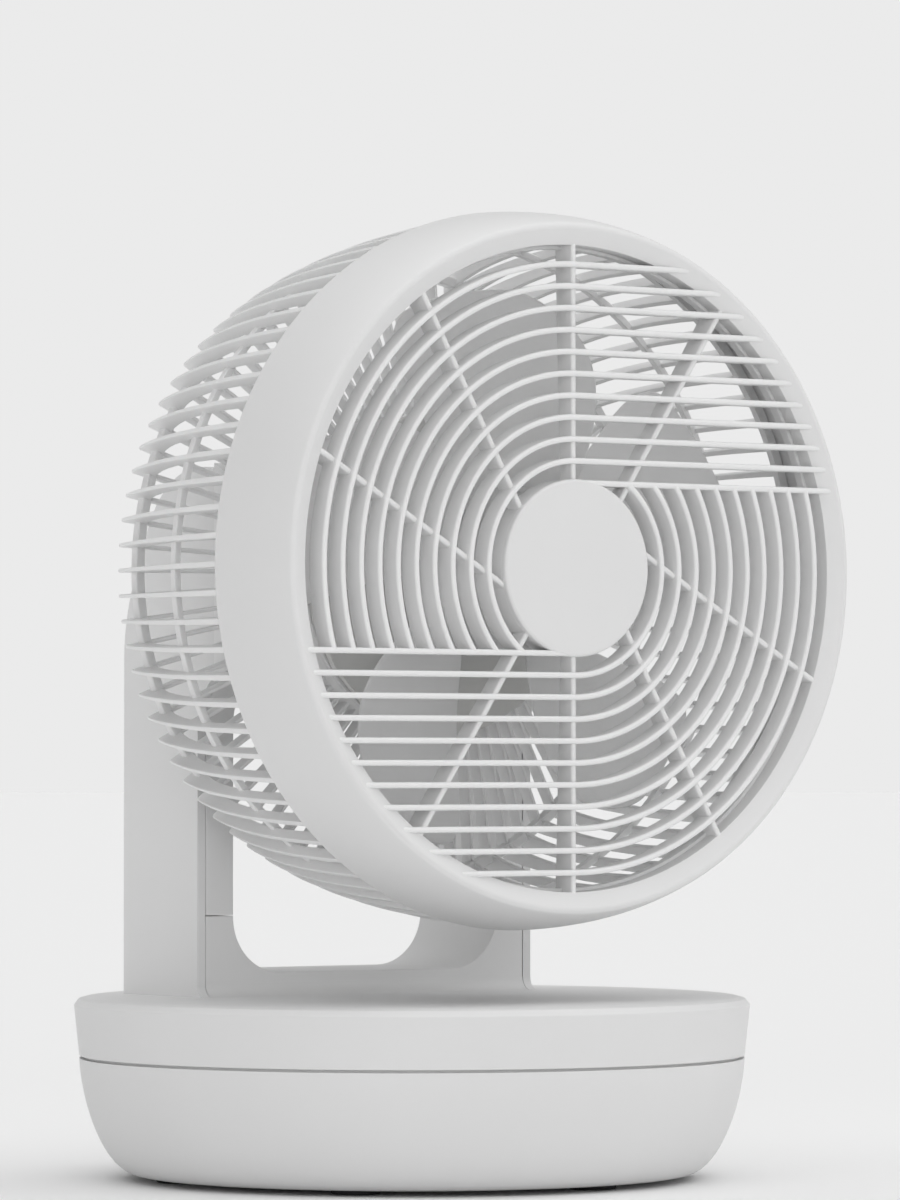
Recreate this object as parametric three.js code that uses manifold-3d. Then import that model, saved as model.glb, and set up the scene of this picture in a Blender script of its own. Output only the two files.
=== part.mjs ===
// Air circulator fan: a round drum head in a U-shaped yoke on a turntable base.
// Millimetres, +Z up. The origin is on the base axis at the floor, and the fan blows towards -Y.

import * as THREE from 'three';
import { mergeVertices } from 'three/addons/utils/BufferGeometryUtils.js';
import Module from 'manifold-3d';

const wasm = await Module();
wasm.setup();

// ---------------------------------------------------------------- driving dimensions

const GAP = 0.3; // between touching pieces
const CASING_SIDES = 36; // facets round the base

// Base: a bowl that stands on the floor and a turntable that swings on it.
const FOOT_HEIGHT = 1.7;
const FOOT_RADIUS = 9;
const FOOT_CIRCLE = 90;
const FOOT_COUNT = 6;
const FOOT_FIRST_ANGLE = 42; // degrees from +X
const BASE_BOTTOM = 2;
const BASE_FLAT_RADIUS = 103; // flat underside
const BASE_WALL = 2.6;
const SEAM_BOTTOM = 45.4;
const SEAM_TOP = 46.4;
const SEAM_RADIUS = 125;
const SHOULDER_RADIUS = 127; // widest line of the turntable
const SHOULDER_HEIGHT = 65.4;
const TABLE_RADIUS = 122.4; // flat top, inside the bevel
const TABLE_TOP = 68.3;
const TABLE_SKIN = 2.6;
const COVER_RADIUS = 100;
const COVER_THICKNESS = 2.4;
const DECK_THICKNESS = 2.6;
const DECK_DROP = 2.6; // from the seam down to the deck's top

// Swing drive: a toothed quadrant on the turntable and a pinion on the gear motor.
const GEAR_MODULE = 1.5;
const QUADRANT_TEETH = 48; // counted round the full circle
const QUADRANT_CUT_TEETH = 16; // cut on the quadrant
const PINION_TEETH = 12;
const PRESSURE_ANGLE = 25; // degrees
const BACKLASH = 0.3;
const GEAR_WIDTH = 6;
const GEAR_BOTTOM = 46.4;

// Yoke: two arms behind the head, with separate outer covers.
const ARM_OUTER = 76.8; // half width over both covers
const ARM_COVER = 3.5;
const ARM_INNER = 60.7; // half width between the arms
const ARM_FRONT = 30; // distance behind the base axis
const ARM_REAR = 81.5;
const ARM_JOINT_HEIGHT = 98.6; // seam between the foot and the arms
const BRIDGE_TOP = 77.2;
const BRIDGE_FILLET = 21;
const FOOT_FLARE = 4; // how far the foot spreads forwards
const FLARE_HEIGHT = 5;
const ARM_DISC_RADIUS = 40;
const ARM_FRONT_FILLET = 20;

// Head: distances along the fan axis are counted forwards from the base axis.
const AXIS_HEIGHT = 226.5;
const PIVOT_BACK = 29; // tilt axis behind the base axis
const BAND_REAR = 66.5;
const BAND_FRONT = 106;
// Skin of the band from its rear edge round its front lip to the mouth, as (radius, forward).
const BAND_SKIN = [[132.2, BAND_REAR], [130.4, 85], [126.2, 103.4], [123.6, BAND_FRONT]];
const BAND_WALL = 2.3;
const MOUTH_RADIUS = 117.6; // opening that the front grille fills
const MOUTH_SLOPE = 3.2; // how far the lip sinks between its crest and the mouth
const MOUTH_REAR = 95; // rear edge of the wall round the mouth
const MOUTH_WALL = 1.8;
const RING_SIDES = 48;

// Front grille: bars that run straight on one side and as arcs on the other.
const BAR_COUNT = 11;
const FIRST_BAR_RADIUS = 31;
const BAR_PITCH = 7.95;
const BAR_WIDTH = 2.2;
const BAR_FRONT = 102.2;
const BAR_DEPTH = 4.4;
const ARC_SAGITTA = 1; // how far an arc's facets may leave the true arc
const SPOKE_WIDTH = 2.2;
const SPOKE_FRONT = 101.2;
const SPOKE_DEPTH = 6.6;
const SPOKE_START = 27; // radius where the spokes leave the hub's seat
const RIM_FRONT = 102.4; // of the grille's rim and of the hub's seat
const RIM_REAR = 94.2;
const RIM_WIDTH = 2.1;
const RIM_CLEARANCE = 0.5; // to the mouth
const BAR_END_RADIUS = 116; // bars and spokes end inside the rim
const HUB_RADIUS = 32.3;
const HUB_FRONT = 105.2;
const HUB_CHAMFER = 0.9;
const HUB_SIDES = 32;
// Direction in degrees from +X, and distance of the spoke's line from the centre.
const SPOKES = [[57, 4.4], [90, 0], [119.6, -9.9], [149.9, -21.3]];

// Rear guard: radial fins, flush with the band, that narrow from the rear corner to the band.
const FIN_COUNT = 80;
const FIN_THICKNESS = 1.8;
const TIP_RADIUS = 119.4;
const TIP_BACK = -18.6;
// Edges of a fin along the drum's side, as (radius, forward).
const FIN_OUTER = [[131.4, BAND_REAR - GAP], [127.8, 20], [TIP_RADIUS, TIP_BACK]];
const FIN_INNER = [[122.6, 19], [125.8, BAND_REAR - GAP]];
const RIB_DEPTH = 7; // of a fin across the rear face
const RIB_CORNER = 112.5; // radius where the rib turns into the side
const DISH_RISE = 0.36; // how far the rear face sinks per millimetre towards the middle
const FIN_RING_SIDES = 40; // of the rings that tie the fins: a corner on every other fin
const SPIGOT = [125.2, 128.6, 64, 71.5]; // inner and outer radius, rear and front, in the band
const CENTRE_RING = [53.6, 60, 2, 15]; // the same, round the motor housing
const POCKET_CLEARANCE = 2; // round the yoke's discs
const POCKET_WALL = 1.8;
const RING_SPAN = 150; // beyond the guard on every side, for the cuts through it

// Motor and blade.
const HOUSING_RADIUS = 53;
const HOUSING_REAR = -62;
const HOUSING_WALL = 2.5;
const FLANGE_RADIUS = 61;
const FLANGE_FRONT = 17.8; // front of the housing's flange, where the cover sits
const SEAT_WALL = 2.6; // round each bearing
const SHAFT_RADIUS = 4;
const SHAFT_FRONT = 81;
const BEARING_RADIUS = 11;
const BEARING_WIDTH = 6.6;
const FRONT_BEARING = 10.8; // rear face of the front bearing
const REAR_BEARING = -58.9; // rear face of the rear bearing
const STATOR_RADIUS = 49;
const STATOR_YOKE = 5; // radial thickness of the stator's ring
const STATOR_REAR = -34;
const STATOR_FRONT = -4;
const POLE_COUNT = 8;
const POLE_WIDTH = 8;
const POLE_TIP_RADIUS = 24.5;
const MAGNET_RADIUS = 22;
const BLADE_COUNT = 5;
const BLADE_TIP_RADIUS = 105;
const BLADE_HUB_RADIUS = 31;
const BLADE_HUB_REAR = 40;
const BLADE_HUB_FRONT = 76;
const BLADE_THICKNESS = 2;
const PIN_RADIUS = 6;

// ---------------------------------------------------------------- finishes

const finish = (color, roughness, metalness = 0) =>
  new THREE.MeshStandardMaterial({ color, roughness, metalness });

const casingPlastic = finish(0xd4d4d3, 0.55);
const grillePlastic = finish(0xd8d8d7, 0.5);
const bladePlastic = finish(0xc4c4c4, 0.45);
const innerPlastic = finish(0xb9b9b8, 0.6);
const nylon = finish(0xeae6dc, 0.4);
const rubber = finish(0x2b2b2c, 0.9);
const steel = finish(0x9fa1a4, 0.35, 0.9);
const copper = finish(0xa8683c, 0.4, 0.8);
const circuitBoard = finish(0x2f5d3a, 0.6);

// ---------------------------------------------------------------- tools

const radians = THREE.MathUtils.degToRad;
const degreesOf = THREE.MathUtils.radToDeg;
const point = (x, y) => new THREE.Vector2(x, y);

function toSolid(geometry) {
  let plain = geometry.clone();
  plain.deleteAttribute('normal');
  plain.deleteAttribute('uv');
  plain = mergeVertices(plain, 1e-4);
  const mesh = new wasm.Mesh({
    numProp: 3,
    vertProperties: new Float32Array(plain.attributes.position.array),
    triVerts: new Uint32Array(plain.index.array),
  });
  return new wasm.Manifold(mesh);
}

function toGeometry(solid) {
  const mesh = solid.getMesh();
  const geometry = new THREE.BufferGeometry();
  geometry.setAttribute('position', new THREE.BufferAttribute(mesh.vertProperties, 3));
  geometry.setIndex(new THREE.BufferAttribute(mesh.triVerts, 1));
  return geometry;
}

// Joins in pairs, which is quicker than adding one piece at a time to a growing solid.
function joined(solids) {
  if (solids.length === 1) return solids[0];
  const half = Math.ceil(solids.length / 2);
  return joined(solids.slice(0, half)).add(joined(solids.slice(half)));
}

// A closed profile of (radius, height) points, turned about Z.
function turned(profile, sides) {
  const closed = [...profile];
  const onAxis = closed[0].x === 0 && closed[closed.length - 1].x === 0;
  if (!onAxis) closed.push(closed[0].clone());
  if (THREE.ShapeUtils.area(profile) < 0) closed.reverse();
  return new THREE.LatheGeometry(closed, sides).rotateX(Math.PI / 2);
}

function extruded(outline, depth, holes = []) {
  const shape = outline instanceof THREE.Shape ? outline : new THREE.Shape(outline);
  shape.holes.push(...holes.map((hole) => new THREE.Path(hole)));
  return new THREE.ExtrudeGeometry(shape, { depth, bevelEnabled: false, curveSegments: 6 });
}

const ring = (inner, outer, bottom, top, sides) =>
  turned([point(inner, bottom), point(outer, bottom), point(outer, top), point(inner, top)], sides);

const disc = (radius, bottom, top, sides) =>
  turned([point(0, bottom), point(radius, bottom), point(radius, top), point(0, top)], sides);

function box(low, high) {
  const size = high.map((value, axis) => value - low[axis]);
  const middle = high.map((value, axis) => (value + low[axis]) / 2);
  return new THREE.BoxGeometry(...size).translate(...middle);
}

// A cylinder along X.
const crossCylinder = (radius, from, to, sides) =>
  disc(radius, from, to, sides).rotateY(Math.PI / 2);

const polar = (radius, degrees) =>
  point(radius * Math.cos(radians(degrees)), radius * Math.sin(radians(degrees)));

function circle(radius, sides, centre = point(0, 0)) {
  const corners = Array.from({ length: sides }, (_, i) => polar(radius, (i * 360) / sides));
  return corners.map((corner) => corner.add(centre));
}

const around = (count, first, make) =>
  Array.from({ length: count }, (_, i) => make(first + (i * 360) / count, i + 1));

function piece(name, shape, material) {
  const solid = shape instanceof THREE.BufferGeometry ? toSolid(shape) : shape;
  const mesh = new THREE.Mesh(toGeometry(solid), material);
  mesh.name = name;
  return mesh;
}

function group(...children) {
  const holder = new THREE.Group();
  holder.add(...children);
  return holder;
}

// ---------------------------------------------------------------- base

const bowlOuter = new THREE.CubicBezierCurve(
  point(BASE_FLAT_RADIUS, BASE_BOTTOM), point(114.5, BASE_BOTTOM),
  point(124, 26), point(SEAM_RADIUS, SEAM_BOTTOM));
const bowlInner = new THREE.CubicBezierCurve(
  point(104.5, 8), point(113, 9), point(124 - BASE_WALL, 28),
  point(SEAM_RADIUS - BASE_WALL, SEAM_BOTTOM));
const LEDGE_BOTTOM = BASE_BOTTOM + COVER_THICKNESS + GAP;
const LEDGE_TOP = 8;
const LEDGE_INNER = 95;
const INLET_HEIGHT = 22;
const INLET_SIZE = [20, 22, 13]; // width, length, height
const INLET_OUTER_Y = 118;

function makeBowl() {
  const wall = toSolid(turned([
    ...bowlOuter.getPoints(6),
    ...bowlInner.getPoints(3).reverse(),
    point(LEDGE_INNER, LEDGE_TOP),
    point(LEDGE_INNER, LEDGE_BOTTOM),
    point(COVER_RADIUS + GAP, LEDGE_BOTTOM),
    point(COVER_RADIUS + GAP, BASE_BOTTOM),
  ], CASING_SIDES));
  const half = INLET_SIZE[0] / 2 + GAP;
  const rise = INLET_SIZE[2] / 2 + GAP;
  const socketHole = toSolid(box([-half, 100, INLET_HEIGHT - rise], [half, 130, INLET_HEIGHT + rise]));
  return wall.subtract(socketHole);
}

// Mains inlet: a rectangular socket with two pins, let into the rear wall of the bowl.
function makeInlet() {
  const [width, length, height] = INLET_SIZE;
  const wall = 2;
  const depth = 12;
  const front = INLET_OUTER_Y - length;
  const body = toSolid(box(
    [-width / 2, front, INLET_HEIGHT - height / 2],
    [width / 2, INLET_OUTER_Y, INLET_HEIGHT + height / 2]));
  const recess = toSolid(box(
    [-width / 2 + wall, INLET_OUTER_Y - depth, INLET_HEIGHT - height / 2 + wall],
    [width / 2 - wall, INLET_OUTER_Y + 1, INLET_HEIGHT + height / 2 - wall]));
  const pins = [-1, 1].map((side) => toSolid(disc(1.2, 0, depth - 1, 8)
    .rotateX(-Math.PI / 2).translate(side * 5.2, INLET_OUTER_Y - depth - 1, INLET_HEIGHT)));
  return joined([body.subtract(recess), ...pins]);
}

const makeBottomCover = () =>
  disc(COVER_RADIUS, BASE_BOTTOM, BASE_BOTTOM + COVER_THICKNESS, CASING_SIDES);

const makeFoot = (place) => disc(FOOT_RADIUS, 0, FOOT_HEIGHT, 12).translate(place.x, place.y, 0);

// Deck that closes the bowl and carries the swing motor, the post and the slide ring.
const DECK_TOP = SEAM_BOTTOM - DECK_DROP;
const DECK_BOTTOM = DECK_TOP - DECK_THICKNESS;
const PINION_PLACE = point(0, -GEAR_MODULE * (QUADRANT_TEETH + PINION_TEETH) / 2);
const POST_RADIUS = 13.8;
const POST_TOP = 63;
const CABLE_BORE = 9.5;
const NUT_RADIUS = 20.6;
const NUT_BOTTOM = 59.8;
const DECK_RADIUS = SEAM_RADIUS - BASE_WALL - 1.5; // clear of the bowl's leaning wall
const CABLE_HOLE_RADIUS = 9;
const SHAFT_HOLE_RADIUS = 3.6;

function makeDeck() {
  const holes = [circle(CABLE_HOLE_RADIUS, 16), circle(SHAFT_HOLE_RADIUS, 12, PINION_PLACE)];
  return extruded(circle(DECK_RADIUS, CASING_SIDES), DECK_THICKNESS, holes)
    .translate(0, 0, DECK_BOTTOM);
}

// Steel ballast in the rear half of the bowl.
function makeBallast() {
  const [inner, outer, height] = [40, 92, 16];
  const [from, to] = [52, 128].map(radians);
  const outline = new THREE.Shape();
  outline.absarc(0, 0, outer, from, to, false);
  outline.absarc(0, 0, inner, to, from, true);
  return extruded(outline, height).translate(0, 0, LEDGE_BOTTOM);
}

// Board with its tallest components, left of the ballast.
function makePowerBoard() {
  const left = -66;
  const bottom = 6;
  const top = 7.6;
  const low = top - 0.1;
  const board = box([left, -38, bottom], [left + 42, 14, top]);
  const transformer = box([left + 5, -32, low], [left + 25, -12, 24]);
  const capacitor = disc(6, low, 22, 12).translate(left + 14, 3, 0);
  const connector = box([left + 30, -20, low], [left + 38, 6, 15]);
  return joined([board, transformer, capacitor, connector].map(toSolid));
}

// Geared swing motor, hung under the deck by two lugs.
function makeSwingMotor() {
  const top = DECK_BOTTOM - GAP;
  const canRadius = 25;
  const can = disc(canRadius, 18, top - 2, 24);
  const lugs = box([-canRadius - 7, -5, top - 2.5], [canRadius + 7, 5, top]);
  return joined([can, lugs].map(toSolid)).translate([PINION_PLACE.x, PINION_PLACE.y, 0]);
}

// Hollow post that the turntable turns on; the cables run up through it.
function makePivotPost() {
  const bottom = DECK_TOP + GAP;
  const flangeTop = bottom + 2.5;
  return turned([
    point(CABLE_BORE, bottom), point(22, bottom), point(22, flangeTop),
    point(POST_RADIUS, flangeTop), point(POST_RADIUS, POST_TOP), point(CABLE_BORE, POST_TOP),
  ], 20);
}

const makeSlideRing = () => ring(95, 103, DECK_TOP + GAP, 46.7, CASING_SIDES / 2);

// ---------------------------------------------------------------- swing gears

// Corners of one involute tooth, centred on the direction `middle` in degrees.
function toothCorners(teeth, middle) {
  const pitchRadius = GEAR_MODULE * teeth / 2;
  const baseRadius = pitchRadius * Math.cos(radians(PRESSURE_ANGLE));
  const rootRadius = pitchRadius - 1.25 * GEAR_MODULE;
  const tipRadius = pitchRadius + 0.95 * GEAR_MODULE;
  const involute = (radius) => {
    const angle = Math.acos(Math.min(1, baseRadius / radius));
    return Math.tan(angle) - angle;
  };
  const halfAngle = (radius) => Math.PI / (2 * teeth) - BACKLASH / (2 * pitchRadius)
    + involute(pitchRadius) - involute(Math.max(radius, baseRadius));
  const flank = [rootRadius, pitchRadius, tipRadius];
  if (rootRadius < baseRadius) flank.splice(1, 0, baseRadius);
  const side = (sign) => flank.map((radius) => {
    const direction = radians(middle) + sign * halfAngle(radius);
    return point(radius * Math.cos(direction), radius * Math.sin(direction));
  });
  return [...side(-1), ...side(1).reverse()];
}

function makePinion() {
  const step = 360 / PINION_TEETH;
  const corners = Array.from({ length: PINION_TEETH }, (_, i) => toothCorners(PINION_TEETH, 90 + i * step));
  const wheel = toSolid(extruded(corners.flat(), GEAR_WIDTH).translate(0, 0, GEAR_BOTTOM));
  const stub = toSolid(disc(3, DECK_BOTTOM + GAP, GEAR_BOTTOM + 1, 12));
  return wheel.add(stub).translate([PINION_PLACE.x, PINION_PLACE.y, 0]);
}

// Toothed quadrant round the post, with the hub that carries the turntable.
function makeQuadrant() {
  const step = 360 / QUADRANT_TEETH;
  const first = -90 - (QUADRANT_CUT_TEETH / 2 - 0.5) * step;
  const rim = Array.from({ length: QUADRANT_CUT_TEETH }, (_, i) =>
    toothCorners(QUADRANT_TEETH, first + i * step));
  const outline = [...rim.flat(), ...[0, 45, 90, 135, 180].map((degrees) => polar(26, degrees))];
  const sector = toSolid(extruded(outline, GEAR_WIDTH).translate(0, 0, GEAR_BOTTOM));
  const hub = toSolid(disc(26, GEAR_BOTTOM, TABLE_TOP - TABLE_SKIN - GAP, 20));
  const bore = toSolid(disc(POST_RADIUS + 0.7, 0, TABLE_TOP, 20));
  const nutRecess = toSolid(disc(NUT_RADIUS + 0.9, NUT_BOTTOM - 0.4, TABLE_TOP, 20));
  return sector.add(hub).subtract(bore).subtract(nutRecess);
}

const makePivotNut = () => ring(POST_RADIUS + 0.5, NUT_RADIUS, NUT_BOTTOM, POST_TOP + 0.4, 20);

// ---------------------------------------------------------------- turntable

function makeTurntableShell() {
  const skin = TABLE_TOP - TABLE_SKIN;
  return turned([
    point(0, TABLE_TOP), point(TABLE_RADIUS, TABLE_TOP), point(125.2, 67.6),
    point(SHOULDER_RADIUS, SHOULDER_HEIGHT), point(SEAM_RADIUS, SEAM_TOP),
    point(SEAM_RADIUS - BASE_WALL, SEAM_TOP), point(SHOULDER_RADIUS - BASE_WALL - 0.4, 64.2),
    point(121.5, skin), point(101, skin), point(101, 47), point(97, 47), point(97, skin),
    point(0, skin),
  ], CASING_SIDES);
}

function makeControlBoard() {
  const top = TABLE_TOP - TABLE_SKIN - GAP;
  const board = box([-34, -86, top - 1.6], [34, -58, top]);
  const chip = box([-8, -78, top - 4], [8, -66, top - 1.5]);
  return joined([board, chip].map(toSolid));
}

// ---------------------------------------------------------------- yoke

const YOKE_BOTTOM = TABLE_TOP + GAP;
const CORE_OUTER = ARM_OUTER - ARM_COVER - GAP;
const discAngle = (degrees) => polar(ARM_DISC_RADIUS, degrees).add(point(-PIVOT_BACK, AXIS_HEIGHT));

// Side outline of an arm from the height `bottom` up, as (forward, height).
function armOutline(bottom) {
  const reach = ARM_DISC_RADIUS + ARM_FRONT_FILLET;
  const filletX = -ARM_FRONT + ARM_FRONT_FILLET;
  const drop = Math.sqrt(reach ** 2 - (filletX + PIVOT_BACK) ** 2);
  const meet = Math.atan2(-drop, filletX + PIVOT_BACK);
  const shape = new THREE.Shape();
  shape.moveTo(-ARM_FRONT, bottom);
  shape.lineTo(-ARM_FRONT, AXIS_HEIGHT - drop);
  shape.absarc(filletX, AXIS_HEIGHT - drop, ARM_FRONT_FILLET, Math.PI, meet + Math.PI, true);
  shape.absarc(-PIVOT_BACK, AXIS_HEIGHT, ARM_DISC_RADIUS, meet, radians(150), false);
  const from = discAngle(150);
  const along = polar(18, 240);
  shape.bezierCurveTo(from.x + along.x, from.y + along.y, -ARM_REAR, 214, -ARM_REAR, 196);
  shape.lineTo(-ARM_REAR, bottom);
  return shape;
}

// Turns a (forward, height) outline, drawn in XY, into a plate between two places along X.
const plateAcross = (outline, from, to) =>
  extruded(outline, to - from).rotateX(Math.PI / 2).rotateZ(-Math.PI / 2).translate(to, 0, 0);

const mirrored = (solid, side) => (side > 0 ? solid : solid.mirror([1, 0, 0]));

function makeArm(side) {
  const plate = toSolid(plateAcross(armOutline(ARM_JOINT_HEIGHT + GAP), ARM_INNER, CORE_OUTER));
  const bore = toSolid(crossCylinder(10.4, 50, 90, 12).translate(0, PIVOT_BACK, AXIS_HEIGHT));
  return mirrored(plate.subtract(bore), side);
}

const makeArmCover = (side) =>
  mirrored(toSolid(plateAcross(armOutline(YOKE_BOTTOM), ARM_OUTER - ARM_COVER, ARM_OUTER)), side);

// The foot joins both arms by a low bridge with rounded inner corners.
function makeYokeFoot() {
  const shape = new THREE.Shape();
  const filletX = ARM_INNER - BRIDGE_FILLET;
  shape.moveTo(-CORE_OUTER, YOKE_BOTTOM);
  shape.lineTo(CORE_OUTER, YOKE_BOTTOM);
  shape.lineTo(CORE_OUTER, ARM_JOINT_HEIGHT);
  shape.lineTo(ARM_INNER, ARM_JOINT_HEIGHT);
  shape.absarc(filletX, BRIDGE_TOP + BRIDGE_FILLET, BRIDGE_FILLET, 0, -Math.PI / 2, true);
  shape.absarc(-filletX, BRIDGE_TOP + BRIDGE_FILLET, BRIDGE_FILLET, -Math.PI / 2, -Math.PI, true);
  shape.lineTo(-ARM_INNER, ARM_JOINT_HEIGHT);
  shape.lineTo(-CORE_OUTER, ARM_JOINT_HEIGHT);
  const uShape = toSolid(extruded(shape, ARM_REAR - ARM_FRONT)
    .rotateX(Math.PI / 2).translate(0, ARM_REAR, 0));
  const low = ARM_FRONT - FOOT_FLARE;
  const flareTop = YOKE_BOTTOM + FLARE_HEIGHT;
  const flare = [
    point(low, YOKE_BOTTOM), point(ARM_FRONT + 1, YOKE_BOTTOM), point(ARM_FRONT + 1, flareTop),
    point(ARM_FRONT, flareTop), point(low + 1.2, YOKE_BOTTOM + 1.2),
  ];
  const skirt = toSolid(extruded(flare, 2 * CORE_OUTER).rotateX(Math.PI / 2).rotateZ(Math.PI / 2)
    .translate(-CORE_OUTER, 0, 0));
  return uShape.add(skirt);
}

const makeTiltBush = (side) => mirrored(toSolid(
  ring(PIN_RADIUS + GAP, 10, ARM_INNER - 1.2, CORE_OUTER - GAP, 12).rotateY(Math.PI / 2)
    .translate(0, PIVOT_BACK, AXIS_HEIGHT)), side);

// ---------------------------------------------------------------- head
// Drawn with X right, Y up and Z forward, and stood up in the assembly.

// The band is a swelling ring with a rounded lip that leads in to the front grille.
function makeBand() {
  const skin = BAND_SKIN.map(([radius, forward]) => point(radius, forward));
  const inside = BAND_SKIN.slice(0, 2).map(([radius, forward]) => point(radius - BAND_WALL, forward));
  const [lip, crest] = BAND_SKIN.slice(2);
  return turned([
    ...skin, point(MOUTH_RADIUS, BAND_FRONT - MOUTH_SLOPE), point(MOUTH_RADIUS, MOUTH_REAR),
    point(MOUTH_RADIUS + MOUTH_WALL, MOUTH_REAR),
    point(MOUTH_RADIUS + MOUTH_WALL, BAND_FRONT - MOUTH_SLOPE - MOUTH_WALL),
    point(crest[0], lip[1] - BAND_WALL / 2), ...inside.reverse(),
  ], RING_SIDES);
}

// One bar of the front grille: straight from the rim to the middle, then an arc round the hub
// as far as the first straight bar of the other half. The first bar's arc is the hub's own edge.
function barOutline(radius) {
  const half = BAR_WIDTH / 2;
  const reach = Math.sqrt(BAR_END_RADIUS ** 2 - radius ** 2);
  const first = radius === FIRST_BAR_RADIUS;
  const endAngle = first ? 90.1 : 180 + degreesOf(Math.asin(FIRST_BAR_RADIUS / radius));
  const step = 2 * degreesOf(Math.acos(1 - ARC_SAGITTA / radius));
  const count = Math.ceil((endAngle - 90) / step);
  const angles = Array.from({ length: count + 1 }, (_, i) => 90 + ((endAngle - 90) * i) / count);
  return [
    point(reach, radius - half), point(reach, radius + half),
    ...angles.map((degrees) => polar(radius + half, degrees)),
    ...angles.reverse().map((degrees) => polar(radius - half, degrees)),
  ];
}

function spokeOutline([degrees, offset]) {
  const along = polar(1, degrees);
  const across = point(along.y, -along.x);
  const from = Math.sqrt(SPOKE_START ** 2 - offset ** 2);
  const to = Math.sqrt(BAR_END_RADIUS ** 2 - offset ** 2);
  const corner = (distance, shift) => along.clone().multiplyScalar(distance)
    .add(across.clone().multiplyScalar(offset + shift));
  const half = SPOKE_WIDTH / 2;
  return [corner(from, -half), corner(from, half), corner(to, half), corner(to, -half)];
}

function makeFrontGrille() {
  const radii = Array.from({ length: BAR_COUNT }, (_, i) => FIRST_BAR_RADIUS + i * BAR_PITCH);
  const bars = radii.map((radius) =>
    toSolid(extruded(barOutline(radius), BAR_DEPTH).translate(0, 0, BAR_FRONT - BAR_DEPTH)));
  const spokes = SPOKES.map((spoke) =>
    toSolid(extruded(spokeOutline(spoke), SPOKE_DEPTH).translate(0, 0, SPOKE_FRONT - SPOKE_DEPTH)));
  const halfGrille = joined([...bars, ...spokes]);
  const otherHalf = halfGrille.rotate([0, 0, 180]);
  const rimRadius = MOUTH_RADIUS - RIM_CLEARANCE;
  const rim = toSolid(ring(rimRadius - RIM_WIDTH, rimRadius, RIM_REAR, RIM_FRONT, RING_SIDES));
  const seat = toSolid(disc(FIRST_BAR_RADIUS + BAR_WIDTH / 2, RIM_REAR, RIM_FRONT, HUB_SIDES));
  return joined([halfGrille, otherHalf, rim, seat]);
}

const makeHubDisc = () => turned([
  point(0, RIM_FRONT + GAP), point(HUB_RADIUS, RIM_FRONT + GAP),
  point(HUB_RADIUS, HUB_FRONT - HUB_CHAMFER), point(HUB_RADIUS - HUB_CHAMFER, HUB_FRONT),
  point(0, HUB_FRONT),
], HUB_SIDES);

// One fin, as (radius, forward): down the side, round the tip, in along the dished rear and back.
function finOutline() {
  const dish = (radius) => TIP_BACK + DISH_RISE * (TIP_RADIUS - radius);
  const inner = (CENTRE_RING[0] + CENTRE_RING[1]) / 2;
  return [
    ...FIN_OUTER.map(([radius, forward]) => point(radius, forward)),
    point(inner, dish(inner)), point(inner, dish(inner) + RIB_DEPTH),
    point(RIB_CORNER, dish(RIB_CORNER) + RIB_DEPTH),
    ...FIN_INNER.map(([radius, forward]) => point(radius, forward)),
  ];
}

// Hollow cheek that lets one of the yoke's discs into the rear face.
function pocket(side, radius, from, to) {
  const cylinder = toSolid(crossCylinder(radius, from, to, 24).translate(0, 0, -PIVOT_BACK));
  return mirrored(cylinder, side);
}

function makeRearGuard() {
  const fin = extruded(finOutline(), FIN_THICKNESS)
    .translate(0, 0, -FIN_THICKNESS / 2).rotateX(Math.PI / 2);
  const fins = around(FIN_COUNT, 0, (degrees) => toSolid(fin).rotate([0, 0, degrees]));
  const rings = [SPIGOT, CENTRE_RING].map((sizes) => toSolid(ring(...sizes, FIN_RING_SIDES)));
  const open = ARM_DISC_RADIUS + POCKET_CLEARANCE;
  const innerWall = ARM_INNER - POCKET_CLEARANCE;
  const outerWall = ARM_OUTER + POCKET_CLEARANCE;
  const far = RING_SPAN;
  const behind = toSolid(box([-far, -far, -far], [far, far, TIP_BACK + 5]));
  const cheeks = [-1, 1].map((side) =>
    pocket(side, open + POCKET_WALL, innerWall - POCKET_WALL, outerWall + POCKET_WALL).subtract(behind));
  const hollows = [-1, 1].map((side) => pocket(side, open, innerWall, outerWall));
  const bore = toSolid(disc(CENTRE_RING[0], -far, far, FIN_RING_SIDES));
  return joined([...fins, ...rings, ...cheeks]).subtract(joined(hollows)).subtract(bore);
}

const SEAT_INNER = BEARING_RADIUS + 0.4; // bore of the seat round each bearing
const SEAT_OUTER = SEAT_INNER + SEAT_WALL;

function makeMotorHousing() {
  const back = HOUSING_REAR + HOUSING_WALL;
  const inner = HOUSING_RADIUS - HOUSING_WALL;
  const flangeRear = CENTRE_RING[3] + GAP;
  const cup = toSolid(turned([
    point(0, HOUSING_REAR), point(40, HOUSING_REAR), point(49, HOUSING_REAR + 4),
    point(HOUSING_RADIUS, HOUSING_REAR + 13), point(HOUSING_RADIUS, flangeRear),
    point(FLANGE_RADIUS, flangeRear), point(FLANGE_RADIUS, FLANGE_FRONT), point(inner, FLANGE_FRONT),
    point(inner, HOUSING_REAR + 14), point(47, back + 3.5), point(39, back),
    point(SEAT_OUTER, back), point(SEAT_OUTER, back + 8.5), point(SEAT_INNER, back + 8.5),
    point(SEAT_INNER, back), point(0, back),
  ], 24));
  const bosses = [-1, 1].map((side) =>
    mirrored(toSolid(crossCylinder(2 * PIN_RADIUS, 51.4, 58.4, 12).translate(0, 0, -PIVOT_BACK)), side));
  const pinBore = toSolid(crossCylinder(PIN_RADIUS + GAP, -ARM_OUTER, ARM_OUTER, 12)
    .translate(0, 0, -PIVOT_BACK));
  return joined([cup, ...bosses]).subtract(pinBore);
}

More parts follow.
